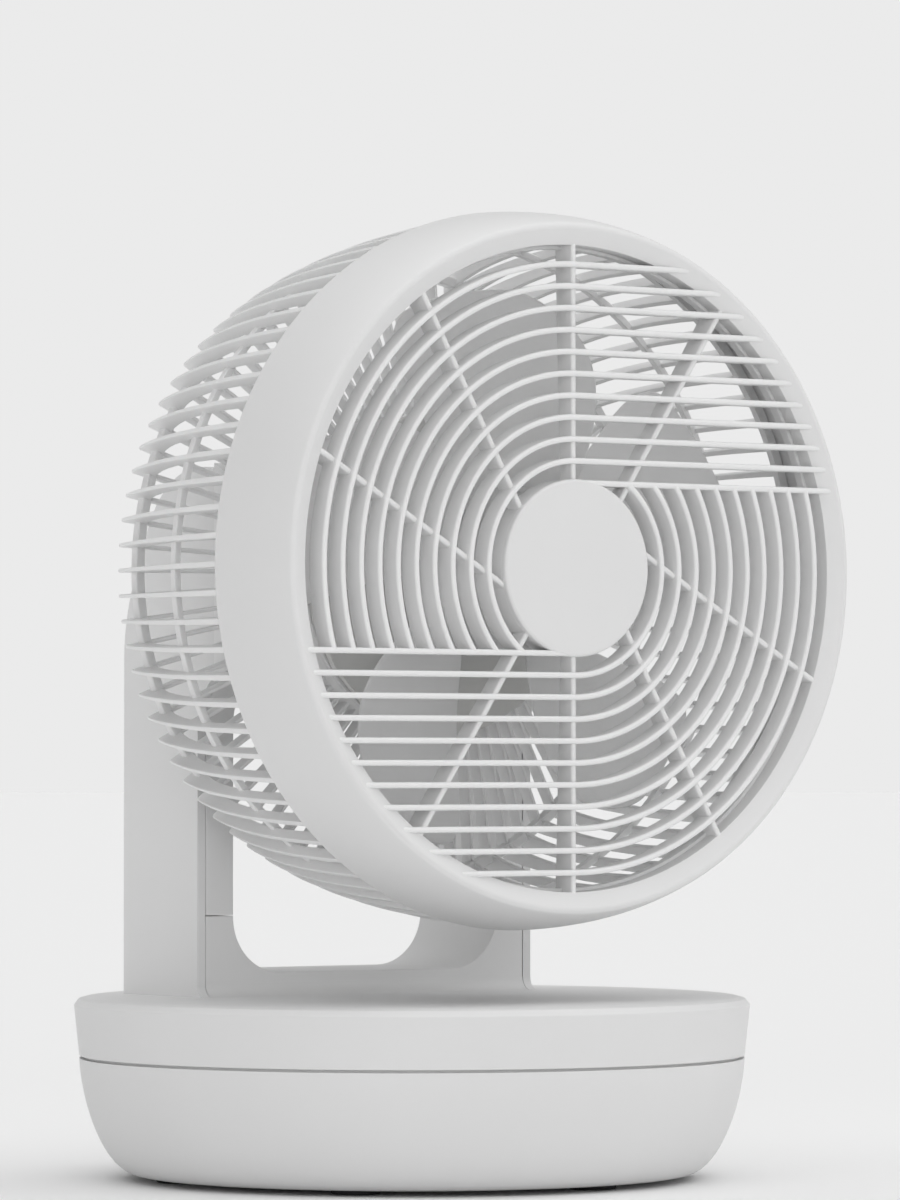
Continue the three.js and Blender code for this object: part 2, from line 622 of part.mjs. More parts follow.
const makeTiltPin = (side) => mirrored(
  toSolid(crossCylinder(PIN_RADIUS, HOUSING_RADIUS - 1, CORE_OUTER - 1, 12)
    .translate(0, 0, -PIVOT_BACK)), side);

const makeMotorCover = () => turned([
  point(SHAFT_RADIUS + 1, FLANGE_FRONT + 2.8), point(60.5, FLANGE_FRONT + 2.8),
  point(60.5, FLANGE_FRONT + GAP), point(SEAT_OUTER, FLANGE_FRONT + GAP), point(SEAT_OUTER, 10),
  point(SEAT_INNER, 10), point(SEAT_INNER, FLANGE_FRONT), point(SHAFT_RADIUS + 1, FLANGE_FRONT),
], 20);

const makeBearing = (rear) =>
  ring(SHAFT_RADIUS + GAP, BEARING_RADIUS, rear, rear + BEARING_WIDTH, 14);

// Stator: a ring with poles that point in to the magnet.
function makeStator() {
  const inner = STATOR_RADIUS - STATOR_YOKE;
  const yokeRing = toSolid(ring(inner, STATOR_RADIUS, STATOR_REAR, STATOR_FRONT, 3 * POLE_COUNT));
  const pole = toSolid(box(
    [POLE_TIP_RADIUS, -POLE_WIDTH / 2, STATOR_REAR], [inner + 1, POLE_WIDTH / 2, STATOR_FRONT]));
  const poles = around(POLE_COUNT, 0, (degrees) => pole.rotate([0, 0, degrees]));
  return joined([yokeRing, ...poles]);
}

// ---------------------------------------------------------------- rotor

// One blade, lofted through sections at growing radius. Each section has a middle direction and
// a half width in degrees, and climbs forwards from its leading to its trailing edge.
const BLADE_SECTIONS = [
  { radius: 28, middle: 0, half: 30, climb: 30, centre: 58 },
  { radius: 50, middle: 4, half: 29, climb: 30, centre: 58 },
  { radius: 74, middle: 9, half: 28, climb: 27, centre: 58.5 },
  { radius: 94, middle: 15, half: 24, climb: 22, centre: 59 },
  { radius: BLADE_TIP_RADIUS, middle: 21, half: 14, climb: 12, centre: 59 },
];
const BLADE_STEPS = 4;

function makeBlade(direction) {
  const positions = [];
  const index = [];
  const columns = BLADE_STEPS + 1;
  const layer = BLADE_SECTIONS.length * columns;
  for (const lift of [-0.5, 0.5]) {
    for (const section of BLADE_SECTIONS) {
      for (let i = 0; i < columns; i += 1) {
        const across = (2 * i) / BLADE_STEPS - 1; // -1 at the trailing edge, 1 at the leading edge
        const place = polar(section.radius, direction + section.middle + across * section.half);
        const camber = 2.4 * (1 - across ** 2);
        const forward = section.centre - (across * section.climb) / 2 - camber + lift * BLADE_THICKNESS;
        positions.push(place.x, place.y, forward);
      }
    }
  }
  const quad = (a, b, c, d) => index.push(a, b, c, a, c, d);
  for (let row = 0; row + 1 < BLADE_SECTIONS.length; row += 1) {
    for (let i = 0; i < BLADE_STEPS; i += 1) {
      const a = row * columns + i;
      quad(a, a + 1, a + columns + 1, a + columns);
      quad(layer + a, layer + a + columns, layer + a + columns + 1, layer + a + 1);
    }
    const lead = row * columns + BLADE_STEPS;
    const trail = row * columns;
    quad(lead, layer + lead, layer + lead + columns, lead + columns);
    quad(trail + columns, layer + trail + columns, layer + trail, trail);
  }
  const last = layer - columns;
  for (let i = 0; i < BLADE_STEPS; i += 1) {
    quad(i, layer + i, layer + i + 1, i + 1);
    quad(last + i + 1, layer + last + i + 1, layer + last + i, last + i);
  }
  const geometry = new THREE.BufferGeometry();
  geometry.setAttribute('position', new THREE.Float32BufferAttribute(positions, 3));
  geometry.setIndex(index);
  return geometry;
}

function makeFanBlade() {
  const inner = BLADE_HUB_RADIUS - 2.4;
  const hub = toSolid(turned([
    point(SHAFT_RADIUS + GAP, BLADE_HUB_FRONT), point(BLADE_HUB_RADIUS - 3, BLADE_HUB_FRONT),
    point(BLADE_HUB_RADIUS, BLADE_HUB_FRONT - 3), point(BLADE_HUB_RADIUS, BLADE_HUB_REAR),
    point(inner, BLADE_HUB_REAR), point(inner, BLADE_HUB_FRONT - 3), point(9, BLADE_HUB_FRONT - 3),
    point(9, 50), point(SHAFT_RADIUS + GAP, 50),
  ], 20));
  const hollow = toSolid(ring(9, inner, BLADE_HUB_REAR - 5, BLADE_HUB_FRONT - 3, 20));
  const blades = around(BLADE_COUNT, 80, (degrees) => toSolid(makeBlade(degrees)));
  return joined([hub, ...blades.map((blade) => blade.subtract(hollow))]);
}

const makeShaft = () => disc(SHAFT_RADIUS, REAR_BEARING + 0.4, SHAFT_FRONT, 12);
const makeMagnet = () => ring(SHAFT_RADIUS + GAP, MAGNET_RADIUS, STATOR_REAR, STATOR_FRONT, 14);

// Domed nut that holds the blade on the shaft.
const makeBladeNut = () => turned([
  point(SHAFT_RADIUS + GAP, BLADE_HUB_FRONT + GAP), point(9, BLADE_HUB_FRONT + GAP),
  point(9, SHAFT_FRONT), point(6, SHAFT_FRONT + 4), point(0, SHAFT_FRONT + 4),
  point(0, SHAFT_FRONT + 0.4), point(SHAFT_RADIUS + GAP, SHAFT_FRONT + 0.4),
], 12);

// ---------------------------------------------------------------- assembly

const base = group(
  piece('base_bowl', makeBowl(), casingPlastic),
  piece('bottom_cover', makeBottomCover(), casingPlastic),
  piece('base_deck', makeDeck(), innerPlastic),
  piece('ballast', makeBallast(), steel),
  piece('power_board', makePowerBoard(), circuitBoard),
  piece('power_inlet', makeInlet(), rubber),
  piece('swing_motor', makeSwingMotor(), steel),
  piece('pivot_post', makePivotPost(), steel),
  piece('slide_ring', makeSlideRing(), nylon),
  ...around(FOOT_COUNT, FOOT_FIRST_ANGLE, (degrees, number) =>
    piece(`foot_${number}`, makeFoot(polar(FOOT_CIRCLE, degrees)), rubber)),
);

const pinion = piece('swing_pinion', makePinion(), nylon);

const turntable = group(
  piece('turntable_shell', makeTurntableShell(), casingPlastic),
  piece('swing_quadrant', makeQuadrant(), nylon),
  piece('pivot_nut', makePivotNut(), steel),
  piece('control_board', makeControlBoard(), circuitBoard),
  piece('yoke_foot', makeYokeFoot(), casingPlastic),
  piece('arm_right', makeArm(1), casingPlastic),
  piece('arm_left', makeArm(-1), casingPlastic),
  piece('arm_cover_right', makeArmCover(1), casingPlastic),
  piece('arm_cover_left', makeArmCover(-1), casingPlastic),
  piece('tilt_bush_right', makeTiltBush(1), nylon),
  piece('tilt_bush_left', makeTiltBush(-1), nylon),
);

const rotor = group(
  piece('fan_blade', makeFanBlade(), bladePlastic),
  piece('motor_shaft', makeShaft(), steel),
  piece('rotor_magnet', makeMagnet(), steel),
  piece('blade_nut', makeBladeNut(), innerPlastic),
);

const head = group(
  piece('front_band', makeBand(), casingPlastic),
  piece('front_grille', makeFrontGrille(), grillePlastic),
  piece('hub_disc', makeHubDisc(), casingPlastic),
  piece('rear_guard', makeRearGuard(), grillePlastic),
  piece('motor_housing', makeMotorHousing(), casingPlastic),
  piece('motor_cover', makeMotorCover(), innerPlastic),
  piece('motor_stator', makeStator(), copper),
  piece('bearing_front', makeBearing(FRONT_BEARING), steel),
  piece('bearing_rear', makeBearing(REAR_BEARING), steel),
  piece('tilt_pin_right', makeTiltPin(1), steel),
  piece('tilt_pin_left', makeTiltPin(-1), steel),
  rotor,
);
head.position.set(0, 0, AXIS_HEIGHT);
head.rotation.x = Math.PI / 2; // forward, drawn along Z, becomes -Y

export default group(base, pinion, turntable, head);
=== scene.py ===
"""Air circulator fan: the moulded shells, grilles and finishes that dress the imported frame."""

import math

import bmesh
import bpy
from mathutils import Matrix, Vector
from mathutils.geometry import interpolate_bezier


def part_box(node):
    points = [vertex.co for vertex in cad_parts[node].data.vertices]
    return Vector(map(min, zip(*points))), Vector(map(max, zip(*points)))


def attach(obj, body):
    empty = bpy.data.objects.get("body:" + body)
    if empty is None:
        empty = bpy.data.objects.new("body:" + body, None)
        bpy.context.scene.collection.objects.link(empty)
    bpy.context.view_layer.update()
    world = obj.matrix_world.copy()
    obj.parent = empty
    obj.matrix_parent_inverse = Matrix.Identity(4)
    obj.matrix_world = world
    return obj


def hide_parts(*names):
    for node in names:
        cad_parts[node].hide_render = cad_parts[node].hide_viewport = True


bl_info = {
    "name": "Air Circulator Fan",
    "version": (1, 0, 0),
    "blender": (4, 5, 0),
    "location": "View3D > Sidebar > Fan",
    "description": "Builds the moulded shells, grilles and finishes of an air circulator fan",
    "category": "Add Mesh",
}

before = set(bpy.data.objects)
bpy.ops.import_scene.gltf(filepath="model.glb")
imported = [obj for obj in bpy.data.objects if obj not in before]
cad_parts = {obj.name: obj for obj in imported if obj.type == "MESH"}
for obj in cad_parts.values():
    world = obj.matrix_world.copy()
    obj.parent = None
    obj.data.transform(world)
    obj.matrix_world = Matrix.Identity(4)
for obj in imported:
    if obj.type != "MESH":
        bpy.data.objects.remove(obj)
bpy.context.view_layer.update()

# ---------------------------------------------------------------- sizes that the pieces share

# Sizes are in millimetres here and below, unless a comment names another unit. Outlines of
# turned pieces are corners of (radius, height) or (radius, height, rounding), and on the head
# the height is how far forward the corner lies.
MM = 0.001  # metres
MERGE_DISTANCE = 0.001
SHARP_ANGLE = 35  # degrees, past which an edge is shaded sharp

ROUND_STEPS = 4  # facets on a rounded corner
EDGE_STEPS = 3  # facets on a rounded edge
RING_STEPS = 192  # facets round the drum and the base
MOTOR_STEPS = 128  # facets round the motor housing
SMALL_STEPS = 64  # facets round a foot and the impeller's hub

AXIS_HEIGHT = 226.5
PIVOT_BACK = 29  # tilt axis behind the base axis

# The head is drawn with X right, Y up and Z forward, and the base with Z up.
BASE_PLACE = Matrix.Scale(MM, 4)
HEAD_PLACE = (
    Matrix.Translation((0, 0, AXIS_HEIGHT * MM))
    @ Matrix.Rotation(math.radians(90), 4, "X")
    @ Matrix.Scale(MM, 4)
)
# An outline of (forward, height) becomes a plate that lies across the fan.
ACROSS = Matrix(((0, 0, 1, 0), (-1, 0, 0, 0), (0, 1, 0, 0), (0, 0, 0, 1)))


def linear(hex_colour):
    """Turns an sRGB hex colour into linear red, green and blue."""
    channels = [int(hex_colour[i : i + 2], 16) / 255 for i in (1, 3, 5)]
    return [c / 12.92 if c <= 0.04045 else ((c + 0.055) / 1.055) ** 2.4 for c in channels]


def length_property(name, description, size):
    """A length that a user can change, with its default in millimetres."""
    return bpy.props.FloatProperty(name=name, description=description, default=size * MM, unit="LENGTH")


def colour_property(name, description, hex_colour):
    """A colour that a user can change, with its default as an sRGB hex colour."""
    return bpy.props.FloatVectorProperty(
        name=name, description=description, default=linear(hex_colour), subtype="COLOR", min=0, max=1)


class FanSizes(bpy.types.PropertyGroup):
    """Sizes a user would change."""

    bar_width: length_property("Bar width", "Width of a front grille bar", 2.2)
    spoke_width: length_property("Spoke width", "Width of a front grille spoke", 2.2)
    fin_tip: length_property("Fin tip", "Thickness of a guard fin at its rear tip", 1.3)
    fin_root: length_property("Fin root", "Thickness of a guard fin at the band", 2.4)
    blade_thickness: length_property("Blade thickness", "Thickness of the impeller blades", 2.0)
    edge_round: length_property("Edge rounding", "Rounding of the yoke's edges", 0.9)


class FanColours(bpy.types.PropertyGroup):
    """Colours a user would change."""

    casing: colour_property("Casing", "Outer mouldings", "#e1e1e1")
    # The grille's colour is set lighter than the casing's: painted light for the bars and fins in the drum's
    # shade.
    grille: colour_property("Grille", "Front grille and rear guard", "#e9e9e9")
    # The blade's colour is set near white: painted light for the blades in the drum's shade.
    blade: colour_property("Blade", "Impeller", "#fafafa")
    floor: colour_property("Floor", "Studio floor", "#f3f3f3")


# ---------------------------------------------------------------- shaping


def round_corner(bm, vert, radius):
    """Rounds one corner of a flat outline to a true radius."""
    first, second = ((edge.other_vert(vert).co - vert.co) for edge in vert.link_edges)
    reach = radius / math.tan(first.angle(second) / 2)
    bmesh.ops.bevel(
        bm, geom=[vert], offset=reach, offset_type="OFFSET", segments=ROUND_STEPS, profile=0.5,
        affect="VERTICES", clamp_overlap=True, material=-1)


def draw_outline(bm, corners):
    """Draws a closed outline of (x, y) or (x, y, radius) corners, and returns its face."""
    known = set(bm.faces)
    verts = [bm.verts.new((corner[0], corner[1], 0)) for corner in corners]
    bm.faces.new(verts)
    for vert, corner in zip(verts, corners):
        if len(corner) == 3:
            round_corner(bm, vert, corner[2])
    return next(face for face in bm.faces if face not in known)


def extrude(bm, face, offset):
    """Extrudes a face and returns the face at the far end."""
    made = bmesh.ops.extrude_face_region(bm, geom=[face])["geom"]
    verts = [item for item in made if isinstance(item, bmesh.types.BMVert)]
    bmesh.ops.translate(bm, verts=verts, vec=offset)
    return next(item for item in made if isinstance(item, bmesh.types.BMFace))


def bevel_rims(bm, faces, radius):
    """Rounds the edges that bound these flat faces."""
    edges = {edge for face in faces for edge in face.edges}
    bmesh.ops.bevel(
        bm, geom=list(edges), offset=radius, offset_type="OFFSET", segments=EDGE_STEPS, profile=0.5,
        affect="EDGES", clamp_overlap=True, material=-1)


def everything(bm):
    """All the points, edges and faces of a shape."""
    return [*bm.verts, *bm.edges, *bm.faces]


def add_to(bm, part):
    """Moves a finished shape into a piece. Small shapes are made apart because that is quicker."""
    carrier = bpy.data.meshes.new("carrier")
    part.to_mesh(carrier)
    part.free()
    bm.from_mesh(carrier)
    bpy.data.meshes.remove(carrier)


def spun(bm, corners, steps=RING_STEPS):
    """Adds a closed outline of (radius, height) or (radius, height, rounding), turned about Z."""
    part = bmesh.new()
    face = draw_outline(part, corners)
    bmesh.ops.rotate(
        part, cent=(0, 0, 0), matrix=Matrix.Rotation(math.radians(90), 3, "X"), verts=part.verts)
    bmesh.ops.delete(part, geom=[face], context="FACES_ONLY")
    axial = [e for e in part.edges if all(abs(v.co.x) < MERGE_DISTANCE for v in e.verts)]
    bmesh.ops.delete(part, geom=axial, context="EDGES")
    bmesh.ops.spin(
        part, geom=everything(part), cent=(0, 0, 0), axis=(0, 0, 1), dvec=(0, 0, 0),
        angle=2 * math.pi, steps=steps, use_merge=True)
    bmesh.ops.remove_doubles(part, verts=part.verts, dist=MERGE_DISTANCE)
    add_to(bm, part)


def curve(corners, count):
    """Points along a curve given by its start, one or two control corners, and its end."""
    start, *controls, end = (Vector((*corner, 0)) for corner in corners)
    if len(controls) == 1:
        controls = [start.lerp(controls[0], 2 / 3), end.lerp(controls[0], 2 / 3)]
    return [(p.x, p.y) for p in interpolate_bezier(start, *controls, end, count)]


def arc(centre, radius, start, end, steps):
    """Points from one direction to another, in degrees, round a centre."""
    angles = (math.radians(start + (end - start) * i / steps) for i in range(steps + 1))
    return [(centre[0] + radius * math.cos(a), centre[1] + radius * math.sin(a)) for a in angles]


def finish_piece(bm, name, body, slot, place, *replaces):
    """Puts a piece into the frame in metres, shades it and lets it ride on its body."""
    bmesh.ops.transform(bm, matrix=place, verts=bm.verts)
    bmesh.ops.recalc_face_normals(bm, faces=bm.faces)
    mesh = bpy.data.meshes.new(name)
    bm.to_mesh(mesh)
    bm.free()
    mesh.materials.append(MATERIALS[slot])
    mesh.shade_smooth()
    mesh.set_sharp_from_angle(angle=math.radians(SHARP_ANGLE))
    piece = bpy.data.objects.new(name, mesh)
    bpy.context.scene.collection.objects.link(piece)
    weighted = piece.modifiers.new("even_shading", "WEIGHTED_NORMAL")
    weighted.keep_sharp = True
    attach(piece, body)
    if replaces:
        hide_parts(*replaces)
    return piece


# ---------------------------------------------------------------- materials

MATERIALS = {}  # by the record's material slot

MOTTLE_SIZE = 60
GRAIN_STRENGTH = 0.35
GRAIN_SPREAD = 0.06  # how far the grain moves the roughness, either way
LINE_STRETCH = 0.06  # how much slower a metal's lines change along their length than across
LINE_STRENGTH = 0.3
LINE_DEPTH = 0.02
LINE_SPREAD = 0.08


def add_node(tree, kind, inputs=None, links=None, **settings):
    """Adds a node with its settings, its inputs' values and the sockets linked to it."""
    node = tree.nodes.new(kind)
    for key, value in settings.items():
        setattr(node, key, value)
    for key, value in (inputs or {}).items():
        node.inputs[key].default_value = value
    for key, socket in (links or {}).items():
        tree.links.new(socket, node.inputs[key])
    return node


def empty_material(name):
    """A new material and its node tree, with nothing in it."""
    material = bpy.data.materials.new(name)
    material.use_nodes = True
    material.node_tree.nodes.clear()
    return material, material.node_tree


def per_mm(size):
    """Texture scale for a pattern of this size in millimetres, on Object coordinates in metres."""
    return 1 / (size * MM)


def moulded_material(name, colour, roughness, ior, grain, depth, mottle=0.02, milky=0.0):
    """A plastic whose colour, roughness and height vary with a fine grain and a broad mottle.

    The real grain is about a tenth of a millimetre, so it is drawn coarser to show at all.
    The milky share of the light passes through to the other side.
    """
    material, tree = empty_material(name)
    place = add_node(tree, "ShaderNodeTexCoord")
    fine = add_node(
        tree, "ShaderNodeTexNoise", {"Scale": per_mm(grain), "Detail": 3.0},
        {"Vector": place.outputs["Object"]})
    broad = add_node(
        tree, "ShaderNodeTexNoise", {"Scale": per_mm(MOTTLE_SIZE), "Detail": 2.0},
        {"Vector": place.outputs["Object"]})
    shade = add_node(
        tree, "ShaderNodeMapRange", {"To Min": 1 - mottle, "To Max": 1 + mottle},
        {"Value": broad.outputs["Fac"]})
    tint = add_node(
        tree, "ShaderNodeVectorMath", {0: colour[:3]}, {"Scale": shade.outputs["Result"]},
        operation="SCALE")
    rough = add_node(
        tree, "ShaderNodeMapRange", {"To Min": roughness - GRAIN_SPREAD, "To Max": roughness + GRAIN_SPREAD},
        {"Value": fine.outputs["Fac"]})
    bump = add_node(
        tree, "ShaderNodeBump", {"Strength": GRAIN_STRENGTH, "Distance": depth * MM},
        {"Height": fine.outputs["Fac"]})
    shader = add_node(
        tree, "ShaderNodeBsdfPrincipled", {"IOR": ior},
        {"Base Color": tint.outputs["Vector"], "Roughness": rough.outputs["Result"],
         "Normal": bump.outputs["Normal"]})
    surface = shader.outputs["BSDF"]
    if milky:
        through = add_node(tree, "ShaderNodeBsdfTranslucent", links={"Color": tint.outputs["Vector"]})
        mix = add_node(tree, "ShaderNodeMixShader", {0: milky}, {1: surface, 2: through.outputs["BSDF"]})
        surface = mix.outputs["Shader"]
    add_node(tree, "ShaderNodeOutputMaterial", links={"Surface": surface})
    return material


def metal_material(name, colour, roughness, line):
    """A metal with fine drawn or wound lines along Y, drawn coarser than the real ones to show."""
    material, tree = empty_material(name)
    place = add_node(tree, "ShaderNodeTexCoord")
    stretch = add_node(
        tree, "ShaderNodeMapping", {"Scale": (1.0, LINE_STRETCH, 1.0)},
        {"Vector": place.outputs["Object"]})
    lines = add_node(
        tree, "ShaderNodeTexNoise", {"Scale": per_mm(line), "Detail": 2.0},
        {"Vector": stretch.outputs["Vector"]})
    rough = add_node(
        tree, "ShaderNodeMapRange", {"To Min": roughness - LINE_SPREAD, "To Max": roughness + LINE_SPREAD},
        {"Value": lines.outputs["Fac"]})
    bump = add_node(
        tree, "ShaderNodeBump", {"Strength": LINE_STRENGTH, "Distance": LINE_DEPTH * MM},
        {"Height": lines.outputs["Fac"]})
    shader = add_node(
        tree, "ShaderNodeBsdfPrincipled", {"Base Color": (*linear(colour), 1), "Metallic": 1.0},
        {"Roughness": rough.outputs["Result"], "Normal": bump.outputs["Normal"]})
    add_node(tree, "ShaderNodeOutputMaterial", links={"Surface": shader.outputs["BSDF"]})
    return material


def make_materials(colours):
    """Makes every finish once. The sizes of grains and lines are in millimetres."""
    MATERIALS.update({
        # Matte ABS from a spark-eroded mould: a soft sheen broken by a fine, even grain.
        "casing": moulded_material(
            "abs_spark_eroded", colours.casing, roughness=0.52, ior=1.54, grain=0.7, depth=0.03),
        # Smooth polypropylene with almost no grain. The thin bars look brighter because its colour is set
        # lighter than the casing's: painted light for the bars and fins in the drum's shade.
        "grille": moulded_material(
            "polypropylene_moulded", colours.grille, roughness=0.42, ior=1.49, grain=1.6, depth=0.02),
        # Milky AS resin: glossier, and light from behind comes through the thin blades. Its colour is set
        # near white, lighter than the casing's: painted light for the blades in the drum's shade.
        "blade": moulded_material(
            "as_resin_milky_moulded", colours.blade, roughness=0.34, ior=1.57, grain=2.5, depth=0.02,
            milky=0.35),
        # Plain ABS of parts inside: duller, with visible flow mottle.
        "inner_plastic": moulded_material(
            "abs_plain_moulded", linear("#dcdcda"), roughness=0.6, ior=1.54, grain=1.2, depth=0.04,
            mottle=0.05),
        # Natural nylon: warm off-white gear plastic.
        "nylon": moulded_material(
            "nylon_machined", linear("#e6e0d2"), roughness=0.4, ior=1.53, grain=0.5, depth=0.03,
            mottle=0.03),
        # Moulded rubber: near black, and it scatters light softly.
        "rubber": moulded_material(
            "rubber_moulded", linear("#2a2a2b"), roughness=0.85, ior=1.52, grain=0.6, depth=0.06,
            mottle=0.08),
        # Solder mask over glass fibre: green, and uneven where the fibre shows through.
        "circuit_board": moulded_material(
            "fibreglass_solder_mask", linear("#2c5c3c"), roughness=0.45, ior=1.55, grain=0.4, depth=0.03,
            mottle=0.1),
        # Zinc-plated steel: a cool metal with drawn lines.
        "steel": metal_material("steel_zinc_plated", "#b3b6ba", roughness=0.36, line=0.5),
        # Enamelled copper wire: warm metal in wound lines.
        "copper": metal_material("copper_enamelled_wound", "#b4703c", roughness=0.34, line=0.6),
    })


# ---------------------------------------------------------------- base

UNDERSIDE = 2
SEAM_BOTTOM = 45.4  # the level line between bowl and turntable
SEAM_TOP = 46.4
SEAM_RADIUS = 125
TABLE_TOP = 68.3

# A tongue stands up behind the line between the shells, so that the line stays shallow.
TONGUE_TOP = SEAM_TOP - 0.15
COVER_HOLE = 100.3
BOWL_SKIN = ((103, UNDERSIDE), (114.5, UNDERSIDE), (124, 26), (SEAM_RADIUS, SEAM_BOTTOM))
BOWL_POINTS = 28
BOWL_INSIDE = (
    (122.7, SEAM_BOTTOM), (122.7, TONGUE_TOP), (121.7, TONGUE_TOP), (118.8, 25), (104.5, 8), (95, 8),
    (95, 4.7), (COVER_HOLE, 4.7),
)
COVER = ((0, UNDERSIDE), (99.9, UNDERSIDE, 0.5), (99.9, 4.4), (0, 4.4))
FOOT_PAD = ((0, 0), (8.3, 0, 0.5), (9, 0.8, 0.3), (9, 1.7), (0, 1.7))
FOOT_COUNT = 6

# Window for the mains inlet, through the bowl's wall.
REAR_WALL = 100  # the wall behind the base axis lies further back than this
WINDOW_HALF_WIDTH = 10.3
WINDOW_LOW = 15.2
WINDOW_HIGH = 28.8

# Screw heads on the cover: they narrow a little downwards, and stand between the feet.
SCREW_COUNT = 6
SCREW_CIRCLE = 92
SCREW_TURN = 12  # degrees from +X to the first
SCREW_HEIGHT = 2.1
SCREW_LOW_RADIUS = 2.6
SCREW_HIGH_RADIUS = 2.9
SCREW_DEPTH = 0.8
SCREW_STEPS = 24

TABLE_SHELL = (
    (0, TABLE_TOP), (122.4, TABLE_TOP, 1), (125.2, 67.6, 0.8), (127, 65.4, 0.7),
    (SEAM_RADIUS, SEAM_TOP, 0.3), (122.4, SEAM_TOP), (124, 64.2), (121.5, 65.7), (0, 65.7),
)
TABLE_SKIRT = ((97, 47), (101, 47), (101, 66), (97, 66))


def cut_window(bm):
    """Cuts a rectangular window through the bowl's rear wall for the mains inlet."""

    def rear_faces(reach):
        middles = ((f, f.calc_center_median()) for f in bm.faces)
        return [f for f, middle in middles if middle.y > REAR_WALL and abs(middle.x) < reach]

    for place, normal in (
        ((WINDOW_HALF_WIDTH, 0, 0), (1, 0, 0)), ((-WINDOW_HALF_WIDTH, 0, 0), (1, 0, 0)),
        ((0, 0, WINDOW_LOW), (0, 0, 1)), ((0, 0, WINDOW_HIGH), (0, 0, 1)),
    ):
        faces = rear_faces(3 * WINDOW_HALF_WIDTH)
        edges = {e for f in faces for e in f.edges}
        verts = {v for f in faces for v in f.verts}
        bmesh.ops.bisect_plane(
            bm, geom=faces + list(edges) + list(verts), plane_co=place, plane_no=normal)
    inside = [
        f for f in rear_faces(WINDOW_HALF_WIDTH) if WINDOW_LOW < f.calc_center_median().z < WINDOW_HIGH]
    bmesh.ops.delete(bm, geom=inside, context="FACES")
    bmesh.ops.bridge_loops(bm, edges=[e for e in bm.edges if e.is_boundary])


def make_bowl():
    """The lower shell of the base, open below for the cover."""
    bm = bmesh.new()
    spun(bm, [(COVER_HOLE, UNDERSIDE), *curve(BOWL_SKIN, BOWL_POINTS), *BOWL_INSIDE])
    cut_window(bm)
    finish_piece(bm, "bowl_shell", "base", "casing", BASE_PLACE, "base_bowl")


def make_cover():
    """The cover under the bowl, with the heads of its screws."""
    bm = bmesh.new()
    spun(bm, COVER)
    for i in range(SCREW_COUNT):
        turn = Matrix.Rotation(math.radians(SCREW_TURN + i * 360 / SCREW_COUNT), 4, "Z")
        bmesh.ops.create_cone(
            bm, cap_ends=True, segments=SCREW_STEPS, radius1=SCREW_LOW_RADIUS, radius2=SCREW_HIGH_RADIUS,
            depth=SCREW_DEPTH, matrix=turn @ Matrix.Translation((SCREW_CIRCLE, 0, SCREW_HEIGHT)))
    finish_piece(bm, "underside_cover", "base", "casing", BASE_PLACE, "bottom_cover")


def make_foot(number):
    """A rubber foot, where the CAD model has it."""
    low, high = (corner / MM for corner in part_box(f"foot_{number}"))
    middle = (low + high) / 2
    bm = bmesh.new()
    spun(bm, FOOT_PAD, SMALL_STEPS)
    bmesh.ops.translate(bm, verts=bm.verts, vec=(middle.x, middle.y, 0))
    finish_piece(bm, f"foot_pad_{number}", "base", "rubber", BASE_PLACE, f"foot_{number}")


class FAN_OT_base(bpy.types.Operator):
    """Builds the bowl with its window for the mains inlet, its cover and its feet"""

    bl_idname = "fan.build_base"
    bl_label = "Base"

    def execute(self, context):
        make_bowl()
        make_cover()
        for number in range(1, FOOT_COUNT + 1):
            make_foot(number)
        return {"FINISHED"}


class FAN_OT_turntable(bpy.types.Operator):
    """Builds the bevelled upper shell that turns on the base"""

    bl_idname = "fan.build_turntable"
    bl_label = "Turntable"

    def execute(self, context):
        bm = bmesh.new()
        spun(bm, TABLE_SHELL)
        spun(bm, TABLE_SKIRT)
        finish_piece(bm, "turntable_top", "turntable", "casing", BASE_PLACE, "turntable_shell")
        return {"FINISHED"}


# ---------------------------------------------------------------- yoke

YOKE_BOTTOM = 68.2  # just under the turntable's top, with no line between them
SEAM_GAP = 0.3
ARM_OUTER = 76.8
ARM_COVER = 3.5
CORE_OUTER = ARM_OUTER - ARM_COVER - SEAM_GAP
ARM_INNER = 60.7
ARM_FRONT = 30
ARM_REAR = 81.5
ARM_SEAM = 98.6
DISC_RADIUS = 40
DISC_END = 150  # degrees up from straight ahead, where the disc runs into the rear curve
# The rest of that curve's corners, as (forward, height): two to steer it, and its end.
REAR_CURVE = ((-72.64, 230.9), (-ARM_REAR, 214), (-ARM_REAR, 196))
FRONT_FILLET = 20
FOOT_FLARE = 5
FLARE_INSIDE = 1  # how far the flare reaches into the yoke's foot
BRIDGE_TOP = 77.2
BRIDGE_FILLET = 21

# Facets on the yoke's curves and round the guard's pockets, and points on the arm's rear curve.
DISC_STEPS = 72
FILLET_STEPS = 16
FLARE_STEPS = 8
BRIDGE_STEPS = 20
REAR_POINTS = 16


def arm_outline(bottom, flare=0.0):
    """Side outline of an arm, as (forward, height), from its bottom up and round."""
    reach = DISC_RADIUS + FRONT_FILLET
    fillet_x = FRONT_FILLET - ARM_FRONT
    drop = math.sqrt(reach**2 - (fillet_x + PIVOT_BACK) ** 2)
    meet = math.degrees(math.atan2(-drop, fillet_x + PIVOT_BACK))
    front = [(-ARM_FRONT, bottom)]
    if flare:
        front = arc((flare - ARM_FRONT, bottom + flare), flare, -90, -180, FLARE_STEPS)
    fillet = arc((fillet_x, AXIS_HEIGHT - drop), FRONT_FILLET, 180, 180 + meet, FILLET_STEPS)
    disc = arc((-PIVOT_BACK, AXIS_HEIGHT), DISC_RADIUS, meet, DISC_END, DISC_STEPS)
    rear = curve((disc[-1], *REAR_CURVE), REAR_POINTS)
    return [*front, *fillet, *disc[1:], *rear[1:], (-ARM_REAR, bottom)]


